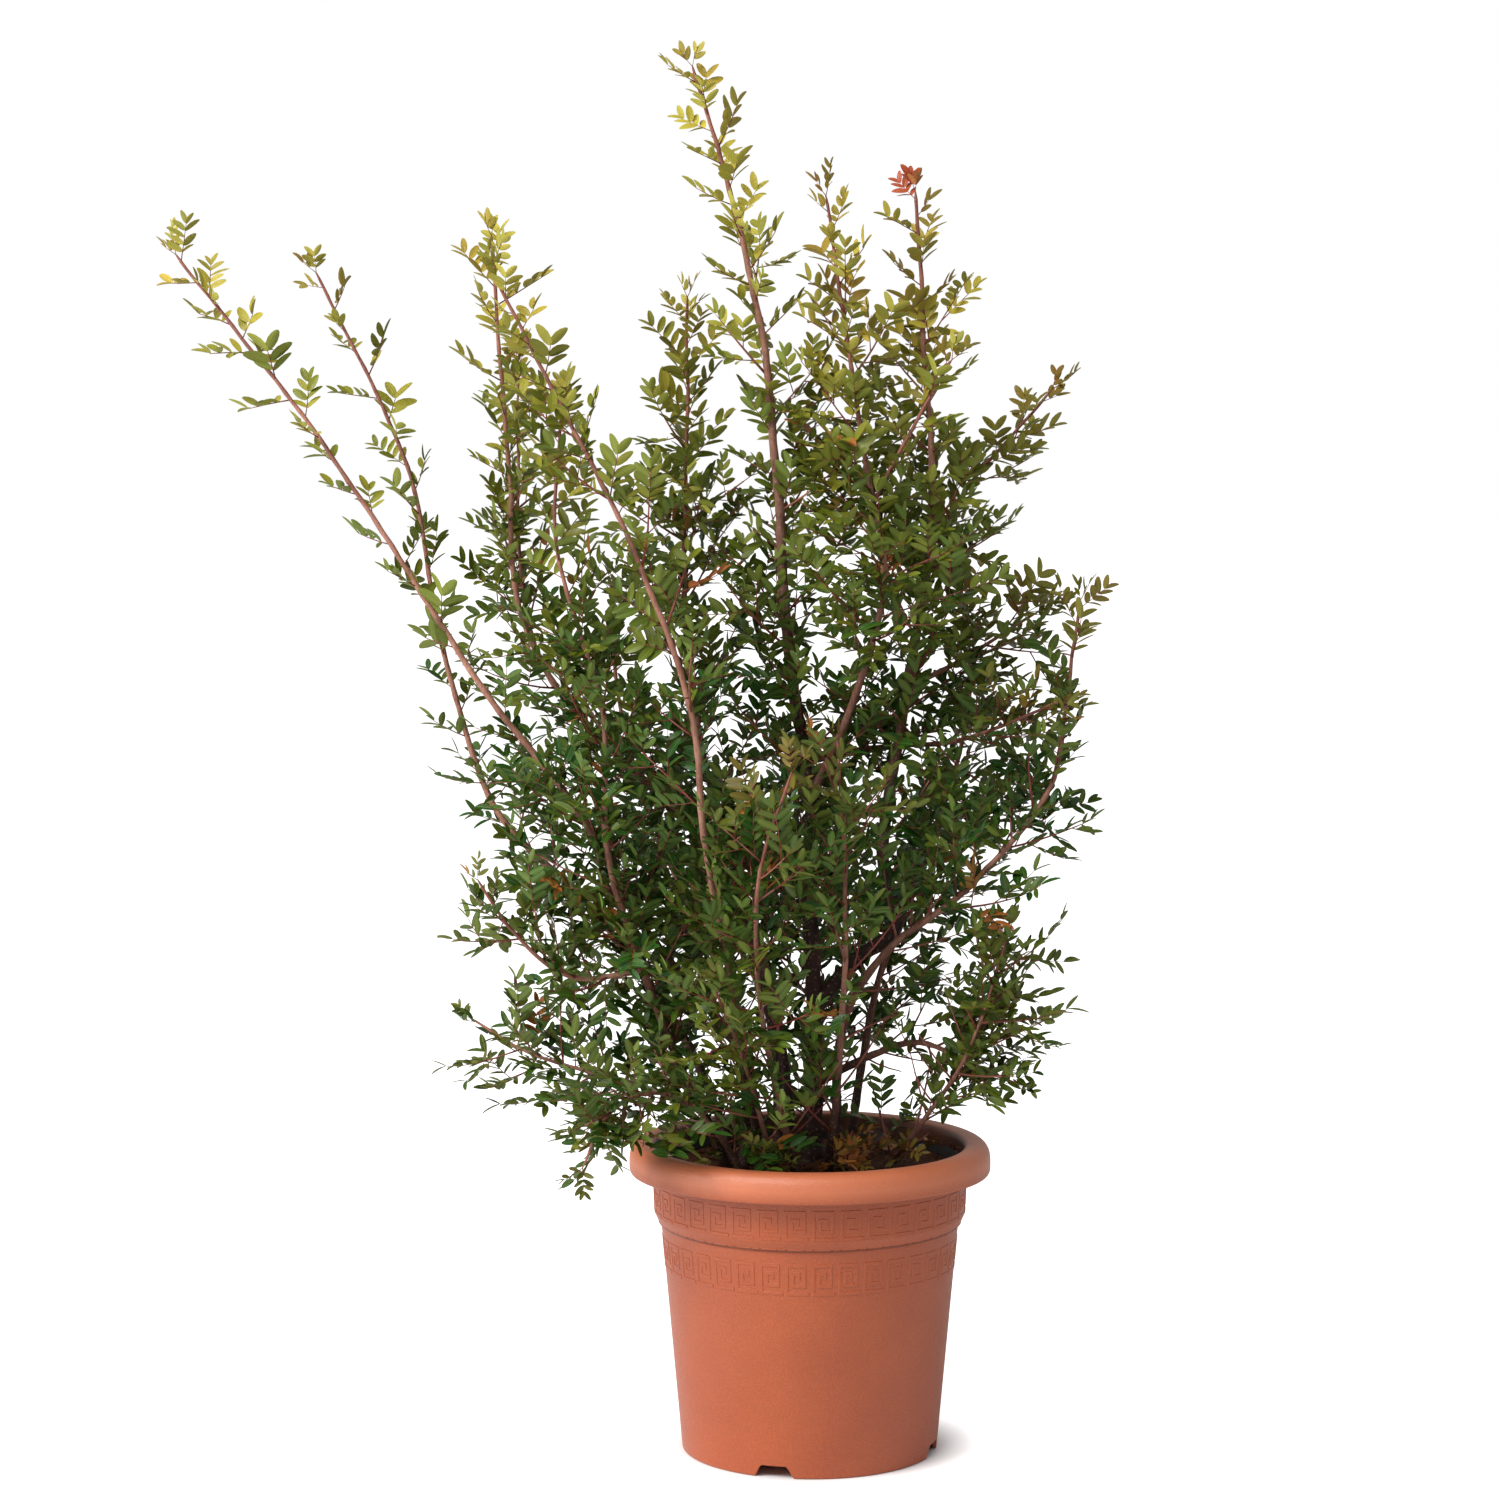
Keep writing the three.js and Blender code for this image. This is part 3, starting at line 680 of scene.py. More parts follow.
# %% Stem table
STEMS = {
    "leader": (None, 21, 3.2, (0.42, 64, 36), [
        (2, 8, 0), (5, 10, 130), (0, 18, 250), (0, 25, 375), (-15, 24, 450), (-28, 8, 610),
        (-45, -8, 790), (-68, -22, 900), (-112, -40, 1050)]),
    "right_tall": ("leader", 16, 3.2, (0.36, 60, 40), [
        (4, 10, 155), (50, 0, 205), (82, -10, 232), (70, 4, 300), (85, 18, 415), (102, 20, 510),
        (116, 8, 640), (110, 0, 760), (99, -10, 935)]),
    "right_inner": ("leader", 9, 2.8, (0.28, 56, 38), [
        (0, 24, 350), (45, -18, 465), (70, -50, 575), (58, -44, 650), (42, -30, 740),
        (14, -20, 930)]),
    "right_second": (None, 11, 2.8, (0.3, 56, 38), [
        (30, -16, 0), (30, -15, 135), (72, -30, 212), (145, -40, 272), (225, -32, 365),
        (242, -28, 440), (255, -30, 550)]),
    "right_low": ("leader", 9, 3, (0.35, 46, 38), [
        (3, 9, 80), (60, -10, 110), (105, -30, 124), (155, -48, 105), (198, -60, 88)]),
    "right_front": (None, 6, 2.4, (0.25, 48, 40), [
        (72, -26, 0), (104, -44, 45), (152, -78, 130), (186, -100, 245)]),
    "right_cross": ("leader", 8, 2.6, (0.45, 50, 42), [
        (-2, 25, 388), (40, 52, 398), (84, 48, 404), (140, 0, 414), (236, -60, 455)]),
    "right_fork": ("right_tall", 6.4, 2.4, (0.35, 54, 44), [
        (94, 20, 460), (140, 40, 484), (226, 70, 535)]),
    "right_back": ("right_tall", 6.4, 2.4, (0.25, 52, 40), [
        (102, 20, 512), (112, 50, 560), (150, 78, 645), (236, 80, 750)]),
    "right_side": ("right_inner", 4.8, 2.4, (0.25, 42, 36), [
        (60, -45, 640), (90, -60, 705), (130, -75, 775)]),
    "left_arching": (None, 10.5, 2.8, (0.3, 54, 36), [
        (-62, -8, 0), (-70, -15, 115), (-155, -36, 230), (-225, -50, 355), (-310, -50, 465),
        (-405, -45, 615), (-470, -40, 710), (-600, -20, 875)]),
    "left_sparse": (None, 10, 2.8, (0.34, 44, 30), [
        (-76, 24, 0), (-115, 30, 105), (-215, 55, 245), (-305, 60, 340), (-355, 60, 490),
        (-390, 50, 675), (-475, 30, 860)]),
    "left_upright": (None, 12, 3, (0.34, 56, 36), [
        (-28, 20, 0), (-45, 40, 165), (-115, 64, 320), (-210, 56, 415), (-278, 42, 525),
        (-290, 30, 665), (-305, 10, 895)]),
    "left_back": ("left_upright", 5.2, 2.2, (0.2, 42, 34), [
        (-262, 46, 495), (-280, 72, 550), (-286, 96, 680), (-285, 100, 775)]),
    "left_leaning": (None, 10.5, 3, (0.28, 58, 38), [
        (-48, -28, 0), (-70, -70, 155), (-100, -135, 335), (-112, -145, 450), (-160, -145, 590),
        (-230, -135, 730), (-290, -125, 845)]),
    "centre_back": (None, 11, 2.8, (0.3, 62, 38), [
        (-14, 46, 0), (-35, 66, 155), (-95, 110, 345), (-122, 108, 530), (-120, 90, 675),
        (-120, 75, 840)]),
    "left_inner": (None, 10, 2.8, (0.22, 60, 40), [
        (-80, -34, 0), (-138, -62, 140), (-192, -84, 315), (-196, -84, 450), (-238, -78, 595),
        (-236, -66, 730)]),
    "left_low": ("left_inner", 6, 2.4, (0.3, 48, 40), [
        (-160, -70, 200), (-230, -82, 196), (-285, -95, 245), (-312, -100, 290)]),
    "left_low_back": ("left_sparse", 6, 2.4, (0.3, 48, 40), [
        (-88, 26, 45), (-180, 66, 70), (-285, 84, 100), (-335, 84, 130)]),
    "left_hanging": (None, 6, 2.4, (0.32, 42, 40), [
        (-66, -50, 0), (-110, -86, 70), (-155, -118, 90), (-192, -140, 72), (-214, -156, 28)]),
    "front_low": (None, 6, 2.4, (0.25, 50, 42), [
        (-34, -64, 0), (-55, -110, 95), (-90, -190, 200)]),
    "front_centre": (None, 9, 2.6, (0.2, 62, 44), [
        (16, -46, 0), (30, -100, 160), (30, -140, 300), (22, -135, 425)]),
    "front_left": (None, 8, 2.6, (0.2, 58, 44), [
        (-14, -70, 0), (-45, -130, 155), (-50, -184, 300), (-20, -184, 400)]),
    "back_left": (None, 10, 2.8, (0.22, 66, 48), [
        (-44, 66, 0), (-80, 120, 150), (-150, 190, 300), (-190, 215, 430), (-200, 205, 560)]),
    "back_right": (None, 10, 2.8, (0.22, 66, 48), [
        (40, 52, 0), (70, 110, 160), (130, 170, 310), (165, 205, 450), (150, 200, 580)]),
    "back_centre": (None, 8, 2.6, (0.18, 60, 46), [
        (4, 74, 0), (10, 140, 140), (-10, 215, 270), (-5, 245, 380)]),
}


# %% [markdown]
# A smooth line through the points comes next. This kind of curve passes through each
# point and doesn't overshoot where two points lie close together. A rooted stem starts
# under the soil, and a side stem starts on its parent's own line.

# %% Centre lines
STATION = 8 * MM
ROOTED = 25 * MM


def smooth_line(points, spacing):
    """Points about spacing apart on a smooth line through points."""
    ends = [points[0] * 2 - points[1], *points, points[-1] * 2 - points[-2]]
    line = []
    for a, b, c, d in zip(ends, ends[1:], ends[2:], ends[3:]):
        t1 = (b - a).length ** 0.5
        t2 = t1 + (c - b).length ** 0.5
        t3 = t2 + (d - c).length ** 0.5
        count = max(1, round((c - b).length / spacing))
        for k in range(count):
            t = lerp(t1, t2, k / count)
            ab = a.lerp(b, t / t1)
            bc = b.lerp(c, (t - t1) / (t2 - t1))
            cd = c.lerp(d, (t - t2) / (t3 - t2))
            abc = ab.lerp(bc, t / t2)
            bcd = bc.lerp(cd, (t - t1) / (t3 - t1))
            line.append(abc.lerp(bcd, (t - t1) / (t2 - t1)))
    line.append(points[-1].copy())
    return line


def stem_path(name):
    parent, *_, spots = STEMS[name]
    points = [Vector((x, y, 0)) * MM + Vector((0, 0, SOIL_RIM + z * MM)) for x, y, z in spots]
    if parent:
        points[0] = min(stem_path(parent), key=lambda p: (p - points[0]).length).copy()
    else:
        points.insert(0, points[0] - Vector((0, 0, ROOTED)))
    return smooth_line(points, STATION)


centre_lines = {}
for name, (parent, foot, tip, *_) in STEMS.items():
    line = stem_path(name)
    radii = [lerp(foot, tip, (i / (len(line) - 1)) ** 0.75) / 2 * MM for i in range(len(line))]
    centre_lines[name] = (line, radii)
print({name: f"{len(line) * STATION:.2f} m" for name, (line, _) in centre_lines.items()})

# %% [markdown]
# ## Growing a stem
# A stem is grown the way a potter rolls clay: one round face is extruded again and again,
# and each new ring is carried to the next place on the line, turned to face along it and
# scaled to the stem's thickness there. Swellings where leaves once sat, and a slight
# wander from side to side, keep it from looking like wire.

# %% Tube helper


def headings(line):
    """Turns that carry a flat ring to face along line, without twisting on the way."""
    turns = []
    forward = (line[1] - line[0]).normalized()
    turn = Vector((0, 0, 1)).rotation_difference(forward)
    for i in range(len(line)):
        ahead = (line[min(i + 1, len(line) - 1)] - line[max(i - 1, 0)]).normalized()
        turn = forward.rotation_difference(ahead) @ turn
        forward = ahead
        turns.append(turn)
    return turns


def tube(line, radii, sides):
    """A closed round bar along line, as a new bmesh."""
    bm = bmesh.new()
    bmesh.ops.create_circle(bm, cap_ends=True, segments=sides, radius=1)
    turns = headings(line)
    places = [Matrix.LocRotScale(p, q, (r, r, r)) for p, q, r in zip(line, turns, radii)]
    bmesh.ops.transform(bm, matrix=places[0], verts=bm.verts)
    face = bm.faces[:][0]
    for before, after in zip(places, places[1:]):
        out = bmesh.ops.extrude_face_region(bm, geom=[face])["geom"]
        ring = [g for g in out if isinstance(g, bmesh.types.BMVert)]
        face = next(g for g in out if isinstance(g, bmesh.types.BMFace))
        bmesh.ops.transform(bm, matrix=after @ before.inverted(), verts=ring)
    bmesh.ops.recalc_face_normals(bm, faces=bm.faces)
    return bm


# %% Grow the stems
STEM_SIDES = 10
WANDER = 2.0 * MM
KNOB_EVERY = 26 * MM
OLD_RADIUS = 8.0 * MM
FLARE_TALL = 35 * MM
noise.seed_set(7)  # noise_vector gives other values on every run unless it is seeded


def wandered(line, seed, foot_still):
    """line pushed gently from side to side, more towards its tip."""
    moved = []
    for i, p in enumerate(line):
        hold = min(1, i * STATION / (60 * MM)) if foot_still else 1
        drift = noise.noise_vector(p * 14 + Vector((seed, 0, 0))) * WANDER
        drift += noise.noise_vector(p * 45 + Vector((0, seed, 0))) * WANDER * 0.35
        moved.append(p + drift * hold)
    return moved


for index, name in enumerate(STEMS):
    line, radii = centre_lines[name]
    line = wandered(line, index * 3.7, True)
    centre_lines[name] = (line, radii)
    shaped = []
    for i, radius in enumerate(radii):
        phase = (i * STATION / KNOB_EVERY) % 1
        knob = exp(-((phase - 0.5) / 0.16) ** 2)
        rough = 1 + 0.07 * noise.noise(line[i] * 60)
        shaped.append(radius * rough * (1 + 0.16 * knob))
    if line[0].z < TOP:
        for i, p in enumerate(line):
            flare = max(0, 1 - (p.z - SOIL_RIM) / FLARE_TALL)
            shaped[i] *= 1 + 0.35 * min(1, flare) ** 2
    shaped[-1] *= 0.5
    stem = tube(line, shaped, STEM_SIDES)
    layer = stem.verts.layers.float.new("age")
    for i, v in enumerate(stem.verts):
        station = min(i // STEM_SIDES, len(radii) - 1)
        # Below 0.55 m age rises further, so the stems darken towards the soil: partly older bark,
        # partly painted shade under the crown.
        v[layer] = min(1, (radii[station] / OLD_RADIUS) ** 0.8 + max(0, 0.55 - v.co.z))
    finish_piece("bark_" + name, stem, [bark], ["stem_" + name], 50)

# %% [markdown]
# ## Leaf colour
# Three values ride on every leaflet. Tone runs from deep green inside the crown and low
# down to yellow green at the top and outside: partly the leaves' age, old ones deep green and
# new ones yellow green, and partly painted light, the lit top and outside of the crown made
# paler and its shaded inside darker. Blush is the red-bronze of the youngest tips and of
# leaves about to drop. The leaflet's own map tells how far along and how far across a point
# is: the midrib and veins follow it, and values above one across mean the paler underside.

# %% Leaf material
leaf_paint, t, bsdf = new_material("leaf")
tone = node(t, "ShaderNodeAttribute", attribute_name="tone").outputs["Fac"]
blush = node(t, "ShaderNodeAttribute", attribute_name="blush").outputs["Fac"]
uv = node(t, "ShaderNodeUVMap", uv_map="leaf_map").outputs[0]
parts = node(t, "ShaderNodeSeparateXYZ", {"Vector": uv})
along, across = parts.outputs[0], parts.outputs[1]
below = maths(t, "GREATER_THAN", across, 1.25)
off_rib = maths(t, "ABSOLUTE", maths(t, "SUBTRACT", maths(t, "FRACT", across), 0.5))
rib = span(t, off_rib, 0.0, 0.06, 1.0, 0.0)
slant = maths(t, "ADD", times(t, along, 9.0), times(t, off_rib, -7.0))
vein_wave = maths(t, "ABSOLUTE", maths(t, "SUBTRACT", maths(t, "FRACT", slant), 0.5))
vein = span(t, vein_wave, 0.0, 0.12, 1.0, 0.0)
where = place_of(t)
mottle = add_clouds(t, where, 0.006)
fine, _ = add_grain(t, where, 0.0009)

dark_to_mid = mix_colours(t, span(t, tone, 0.0, 0.5), colour(31, 78, 17), colour(114, 118, 24))
green = mix_colours(t, span(t, tone, 0.5, 1.0), dark_to_mid, colour(200, 184, 68))
green = mix_colours(t, times(t, mottle, 0.3), green, colour(206, 220, 190), "MULTIPLY")
bronze = mix_colours(t, span(t, blush, 0.0, 0.55), green, colour(168, 104, 44))
bronze = mix_colours(t, span(t, blush, 0.55, 1.0), bronze, colour(176, 52, 40))
lines = maths(t, "MAXIMUM", rib, times(t, vein, 0.3))
veined = mix_colours(t, times(t, lines, 0.2), bronze, colour(182, 188, 92))
pale = mix_colours(t, 0.3, veined, colour(130, 146, 72))
bsdf.inputs["Specular IOR Level"].default_value = 0.32
gloss = span(t, mottle, 0.0, 1.0, 0.3, 0.42)
rough = maths(t, "ADD", gloss, times(t, below, 0.25))
sunken = maths(t, "ADD", rib, times(t, vein, 0.4))
relief = maths(t, "SUBTRACT", times(t, fine, 0.25), sunken)
dress(t, bsdf, mix_colours(t, below, veined, pale), rough, relief, 0.00025, 0.7)

# %% Dry leaf material
dry, t, bsdf = new_material("dry_leaf")
where = place_of(t)
blotch = add_clouds(t, where, 0.007)
fine, _ = add_grain(t, where, 0.001)
tan = mix_colours(t, blotch, colour(190, 116, 56), colour(120, 66, 32))
tan = mix_colours(t, span(t, fine, 0.45, 0.7, 0.0, 0.4), tan, colour(84, 44, 24))
dress(t, bsdf, tan, span(t, blotch, 0.0, 1.0, 0.55, 0.8), fine, 0.0004, 0.8)
print("leaf materials made")

# %% [markdown]
# ## One leaflet
# A leaflet is small, oval and leathery, a little folded along its midrib. A ball with four
# sides, flattened, has just the right bones: one row of points down each edge and one down
# the middle of each face. It is thin but closed, and has only twenty faces, because many
# thousands of them will be needed.

# %% Leaflet
LEAFLET = 22 * MM
LEAFLET_ROWS = 6


def leaflet(length, width, fold, curl, point=0.85, rows=LEAFLET_ROWS):
    """A leaflet from the origin along +X, upper side +Z, as a new bmesh."""
    bm = bmesh.new()
    bmesh.ops.create_uvsphere(bm, u_segments=4, v_segments=rows, radius=1,
                              matrix=Matrix.Rotation(pi / 2, 4, "Y"))
    sheet = bm.loops.layers.uv.new("leaf_map")
    for face in bm.faces:
        face.smooth = True
        below = face.calc_center_median().z < 0
        for loop in face.loops:
            x, y, _ = loop.vert.co
            loop[sheet].uv = ((x + 1) / 2, 0.5 + 0.45 * y + (1 if below else 0))
    for edge in bm.edges:
        edge.smooth = not all(abs(v.co.z) < 1e-4 for v in edge.verts)
    for v in bm.verts:
        t = (v.co.x + 1) / 2
        taper = lerp(1, point, max(0, t * 2 - 1))
        y = v.co.y * width / 2 * taper
        z = v.co.z * 0.3 * MM + abs(y) * fold - curl * length * t * t
        v.co = Vector((t * length, y, z))
    return bm


# %% [markdown]
# ## One leaf
# A mastic leaf is a red-brown stalk with two to five pairs of leaflets and none at its
# end. Thirteen leaves are made once, each a little different, and copied: broad ones for
# the upper shoots, and slimmer ones for the shade low down. Every leaflet gets a number of
# its own, called shade, that later moves its tone a little.

# %% Leaf kit
dice = random.Random(5)


def make_leaf(index, pairs, slim):
    """One compound leaf along +X as a mesh with leaf and stalk materials."""
    spacing = dice.uniform(9.0, 11.0) * MM
    first = dice.uniform(9, 14) * MM
    length = first + spacing * (pairs - 1)
    droop = dice.uniform(-3.5, 1.5)
    sway = dice.uniform(-1.2, 1.2)

    def on_stalk(x):
        return Vector((x, sway * x * x, -droop * x * x))

    line = [on_stalk(length * i / 3) for i in range(4)]
    leaf = tube(line, [0.75 * MM, 0.6 * MM, 0.5 * MM, 0.35 * MM], 4)
    shade = leaf.verts.layers.float.new("shade")
    leaf.loops.layers.uv.new("leaf_map")
    for face in leaf.faces:
        face.material_index = 1
        face.smooth = True
    for pair in range(pairs):
        x = first + spacing * pair
        last = pair == pairs - 1
        for side in (-1, 1):
            if dice.random() < 0.06 and not last:
                continue
            size = 0.84 + 0.24 * sin(pi * (pair + 0.8) / (pairs + 0.6))
            size *= dice.uniform(0.8, 1.14)
            angle = radians(dice.uniform(20, 42) if last else dice.uniform(40, 70))
            blade = leaflet(LEAFLET * size, LEAFLET * size * slim * dice.uniform(0.92, 1.1),
                            dice.uniform(0.15, 0.5), dice.uniform(0.02, 0.18))
            seat = (Matrix.Translation(on_stalk(x + dice.uniform(-1, 1) * MM))
                    @ Matrix.Rotation(side * angle, 4, "Z")
                    @ Matrix.Rotation(dice.uniform(-0.75, 0.05), 4, "Y")
                    @ Matrix.Rotation(side * dice.uniform(-0.3, 0.7), 4, "X"))
            blade_mesh = mesh_of(blade, "blade")
            blade_mesh.transform(seat)
            count = len(leaf.verts)
            leaf.from_mesh(blade_mesh)
            leaf.verts.ensure_lookup_table()
            value = dice.random()
            for v in leaf.verts[count:]:
                v[shade] = value
            bpy.data.meshes.remove(blade_mesh)
    mesh = mesh_of(leaf, f"leaf_{index}")
    for label in ("tone", "blush", "age"):
        mesh.attributes.new(label, "FLOAT", "POINT")
    return mesh, length + LEAFLET * 0.8


broad_leaves = [make_leaf(i, pairs, slim) for i, (pairs, slim) in enumerate(
    [(2, 0.44), (3, 0.43), (3, 0.41), (4, 0.41), (4, 0.39), (5, 0.39)])]
slim_leaves = [make_leaf(10 + i, pairs, slim) for i, (pairs, slim) in enumerate(
    [(2, 0.42), (3, 0.4), (3, 0.39), (4, 0.38), (4, 0.36), (5, 0.36), (5, 0.34)])]
BROAD_ABOVE = 0.8
print(len(broad_leaves), "broad and", len(slim_leaves), "slim leaves")

# %% [markdown]
# ## Setting out the leaves
# Leaves stand singly, each turned about 137 degrees from the one before, so that none
# shades the next. Low in the crown they sit on side twigs; towards the tips they sit on
# the shoot itself and get smaller. A leaf that would leave the tree's box, or dip into the
# pot, is left out. The shrub is also bare in its heart, low down above the soil, where
# little light comes and the old limbs show, so most leaves that would reach in there are
# dropped as well.

# %% Leaf setting
GOLDEN = radians(137.5)
UP = Vector((0, 0, 1))
MARGIN = 10 * MM
HANG_TO = 0.2
box_low = Vector(cad_box[0]) - Vector((MARGIN, MARGIN, 0))
box_high = Vector(cad_box[1]) + Vector((MARGIN, MARGIN, MARGIN))


def fits(point):
    """Whether a point may hold a leaf: inside the tree's box and clear of the pot."""
    inside_box = all(box_low[i] < point[i] < box_high[i] for i in range(3))
    radius = hypot(point.x, point.y)
    over_pot = point.z > TOP + 5 * MM + 24 * MM * (radius < RIM + 10 * MM)
    over_soil = radius < COLLAR_TOP - 12 * MM and point.z > soil_height(point.x, point.y) + 3 * MM
    lowest = HANG_TO if point.x < -RIM - 10 * MM else TOP + 15 * MM
    beside_pot = radius > RIM + 7 * MM and point.z > lowest
    return inside_box and (over_pot or over_soil or beside_pot)


CROWN_MIDDLE = Vector((-0.02, 0.0, 0.60))
CROWN_RADIUS, CROWN_TALL = 0.24, 0.36
CROWN_SKIRT = 1.45  # the crown is this much wider below its middle
HEART = Vector((0.04, -0.03))
HEART_RADIUS = 0.13
HEART_STRETCH = Vector((1.2, 0.75))
HEART_TOP = 0.53
HEART_BARE = 0.82  # the share of leaves that is missing in the heart


def in_crown(point):
    """Whether a point is in the dense, round part of the tree."""
    off = point - CROWN_MIDDLE
    wide = CROWN_RADIUS * (CROWN_SKIRT if off.z < 0 else 1)
    return hypot(off.x, off.y) / wide < sqrt(max(0, 1 - (off.z / CROWN_TALL) ** 4))


def in_heart(point):
    """Whether a point is in the open middle of the shrub, low down."""
    off = (point.xy - HEART) * HEART_STRETCH
    return TOP + 0.02 < point.z < HEART_TOP and off.length < HEART_RADIUS


print("heart of the shrub:", HEART_TOP - TOP, "m tall")

# %% [markdown]
# ## The colour and pose of each leaf
# Leaves inside and low down are deep green, and leaves near the top and outside are yellow
# green: partly their age, and partly painted light on the lit top and outside of the crown.
# The new growth at one place low in front is yellow green too, and the leaves low on the
# right are made paler by painted light. The tops on the right are blushed with red-bronze,
# and a leaf here and there is turning. The upper face of each leaf is turned to the sky,
# with some carelessness.

# %% Leaf colour by place
TONE_FROM, TONE_OVER = 0.66, 0.54  # height where leaves start to pale, and over how far
# The first spot is new growth low in front; the second, low on the right, is painted light that makes
# the leaves there paler.
FRESH_AND_PAINTED_LIGHT = [(0.2, Vector((-0.07, -0.13, 0.42)), 0.13),
         (0.16, Vector((0.2, -0.08, 0.4)), 0.16)]  # how much, where, how wide
BLUSHED = ("right_tall", "right_inner", "right_back")


def sideways(direction, turn):
    """A direction square to this one, turned round it."""
    side = direction.orthogonal().normalized()
    return Quaternion(direction, turn) @ side


def splayed(heading, turn, degrees):
    """A direction that leaves heading at this angle, on the side that turn says."""
    spread = radians(degrees)
    return heading * cos(spread) + sideways(heading, turn) * sin(spread)


def leaf_tone(place, dice):
    """From 0, deep green, to 1, yellow green."""
    # Tone rises with height and with distance from the axis: partly the pale new growth, partly painted
    # light, with the lit top and outside of the crown made paler and its shaded inside darker.
    lift = min(1, max(0, (place.z - TONE_FROM) / TONE_OVER))
    outward = min(1, hypot(place.x + 0.04, place.y) / 0.34)
    fresh_and_painted_light = sum(much * max(0, 1 - (place - spot).length / wide) for much, spot, wide in FRESH_AND_PAINTED_LIGHT)
    tone = 0.03 + 0.1 * outward + 0.85 * lift ** 1.1 + fresh_and_painted_light
    return min(1, max(0, tone + dice.gauss(0, 0.09)))


def leaf_blush(name, place, to_tip, dice):
    """From 0, none, to 1, crimson."""
    blush = 0.0
    if to_tip < 0.16:
        blush = dice.uniform(0, 0.3 if place.z > 0.6 else 0.12) * (1 - to_tip / 0.16)
    if name in BLUSHED and place.z > 1.0:
        blush = dice.uniform(0.12, 0.46) * (1 - min(1, to_tip / 0.26))
        if to_tip < 0.018 and name == "right_tall":
            blush = dice.uniform(0.7, 1)
    if dice.random() < 0.012:
        blush = dice.uniform(0.5, 0.75)
    return blush


# %% Foliage
LEVEL_CARE = 0.36  # how far a leaf's face strays from the sky


class Foliage:
    """Collects the leaves and twigs of one stem in one bmesh."""

    def __init__(self, name, seed):
        self.name = name
        self.dice = random.Random(seed)
        self.bm = bmesh.new()
        self.bm.loops.layers.uv.new("leaf_map")
        for label in ("shade", "tone", "blush", "age"):
            self.bm.verts.layers.float.new(label)
        self.leaves = 0

    def add_leaf(self, place, direction, scale, tone, blush):
        dice = self.dice
        kit = broad_leaves if place.z + dice.gauss(0, 0.1) > BROAD_ABOVE else slim_leaves
        mesh, length = dice.choice(kit[2:] if scale > 0.75 else kit[:4])
        tip = place + direction * length * scale
        if not (fits(tip) and fits(place + direction * length * scale * 0.5)):
            return
        if in_heart(tip) and dice.random() < HEART_BARE:
            return
        level = UP - direction * UP.dot(direction)
        if level.length < 0.2:
            level = sideways(direction, dice.uniform(0, 6.28))
        level = level.normalized() + Vector([dice.gauss(0, LEVEL_CARE) for _ in range(3)])
        level = (level - direction * level.dot(direction)).normalized()
        side = level.cross(direction)
        turn = Matrix((direction, side, level)).transposed().to_4x4()
        copy = mesh.copy()
        copy.transform(Matrix.Translation(place) @ turn @ Matrix.Scale(scale, 4))
        count = len(copy.vertices)
        shade = [0.0] * count
        copy.attributes["shade"].data.foreach_get("value", shade)
        tones = [min(1, max(0, tone + (s - 0.5) * 0.26)) for s in shade]
        turning = dice.random() < 0.02
        odd = dice.random()
        blushes = [min(1, blush + (0.6 if turning and abs(s - odd) < 0.12 else 0)) for s in shade]
        for label, values in (("tone", tones), ("blush", blushes), ("age", [0.1] * count)):
            copy.attributes[label].data.foreach_set("value", values)
        self.bm.from_mesh(copy)
        bpy.data.meshes.remove(copy)
        self.leaves += 1

    def add_twig(self, place, direction, length, radius, age):
        """A thin twig that curves upwards. Returns its line."""
        dice = self.dice
        bend = (UP * dice.uniform(0.15, 0.6) + Vector([dice.gauss(0, 0.22) for _ in range(3)]))
        steps = max(3, round(length / (18 * MM)))
        line = [place]
        heading = direction.copy()
        for _ in range(steps):
            heading = (heading + bend * (0.55 / steps)).normalized()
            line.append(line[-1] + heading * length / steps)
        radii = [lerp(radius, radius * 0.5, i / steps) for i in range(steps + 1)]
        twig = tube(line, radii, 5)
        for face in twig.faces:
            face.material_index = 1
        twig_mesh = mesh_of(twig, "twig")
        values = twig_mesh.attributes.new("age", "FLOAT", "POINT")
        values.data.foreach_set("value", [age] * len(twig_mesh.vertices))
        self.bm.from_mesh(twig_mesh)
        bpy.data.meshes.remove(twig_mesh)
        return line

    def leafy_twig(self, place, direction, length, to_tip, size=1.0, bronze=0.0):
        """A side twig with leaves all along it and one at its end."""
        dice = self.dice
        if not fits(place + direction * length):
            return
        if in_heart(place + direction * length) and dice.random() < HEART_BARE / 3:
            return
        line = self.add_twig(place, direction, length,
                             dice.uniform(1.0, 1.5) * MM, dice.uniform(0.1, 0.3))
        spots = smooth_line(line, 5 * MM)
        step = dice.uniform(11, 15) * MM * size
        walk = 10 * MM
        turn = dice.uniform(0, 6.28)
        while walk < length:
            i = min(len(spots) - 2, int(walk / length * (len(spots) - 1)))
            heading = (spots[i + 1] - spots[i]).normalized()
            turn += GOLDEN
            out = splayed(heading, turn, dice.uniform(42, 66))
            blush = max(bronze * dice.uniform(0.2, 1), leaf_blush(self.name, spots[i], to_tip, dice))
            self.add_leaf(spots[i], out.normalized(), size * dice.uniform(0.7, 0.96),
                          leaf_tone(spots[i], dice), blush)
            walk += step
        heading = (spots[-1] - spots[-3]).normalized()
        blush = max(bronze * dice.uniform(0.2, 1), leaf_blush(self.name, spots[-1], to_tip, dice))
        self.add_leaf(spots[-1], heading, size * dice.uniform(0.7, 0.9),
                      leaf_tone(spots[-1], dice), blush)


# %% [markdown]
# ## Clothing the stems
# Each stem is walked from its lowest leaf to its tip, and a leaf or a side twig is set at
# every few steps. Shoots differ: some are sparse, some carry side twigs far above the
# crown, and the long ones in front are nearly bare on the side that faces out. The tables
# below hold only the stems that differ from the rest. A few stems also carry small, bronze
# twigs at soil height.

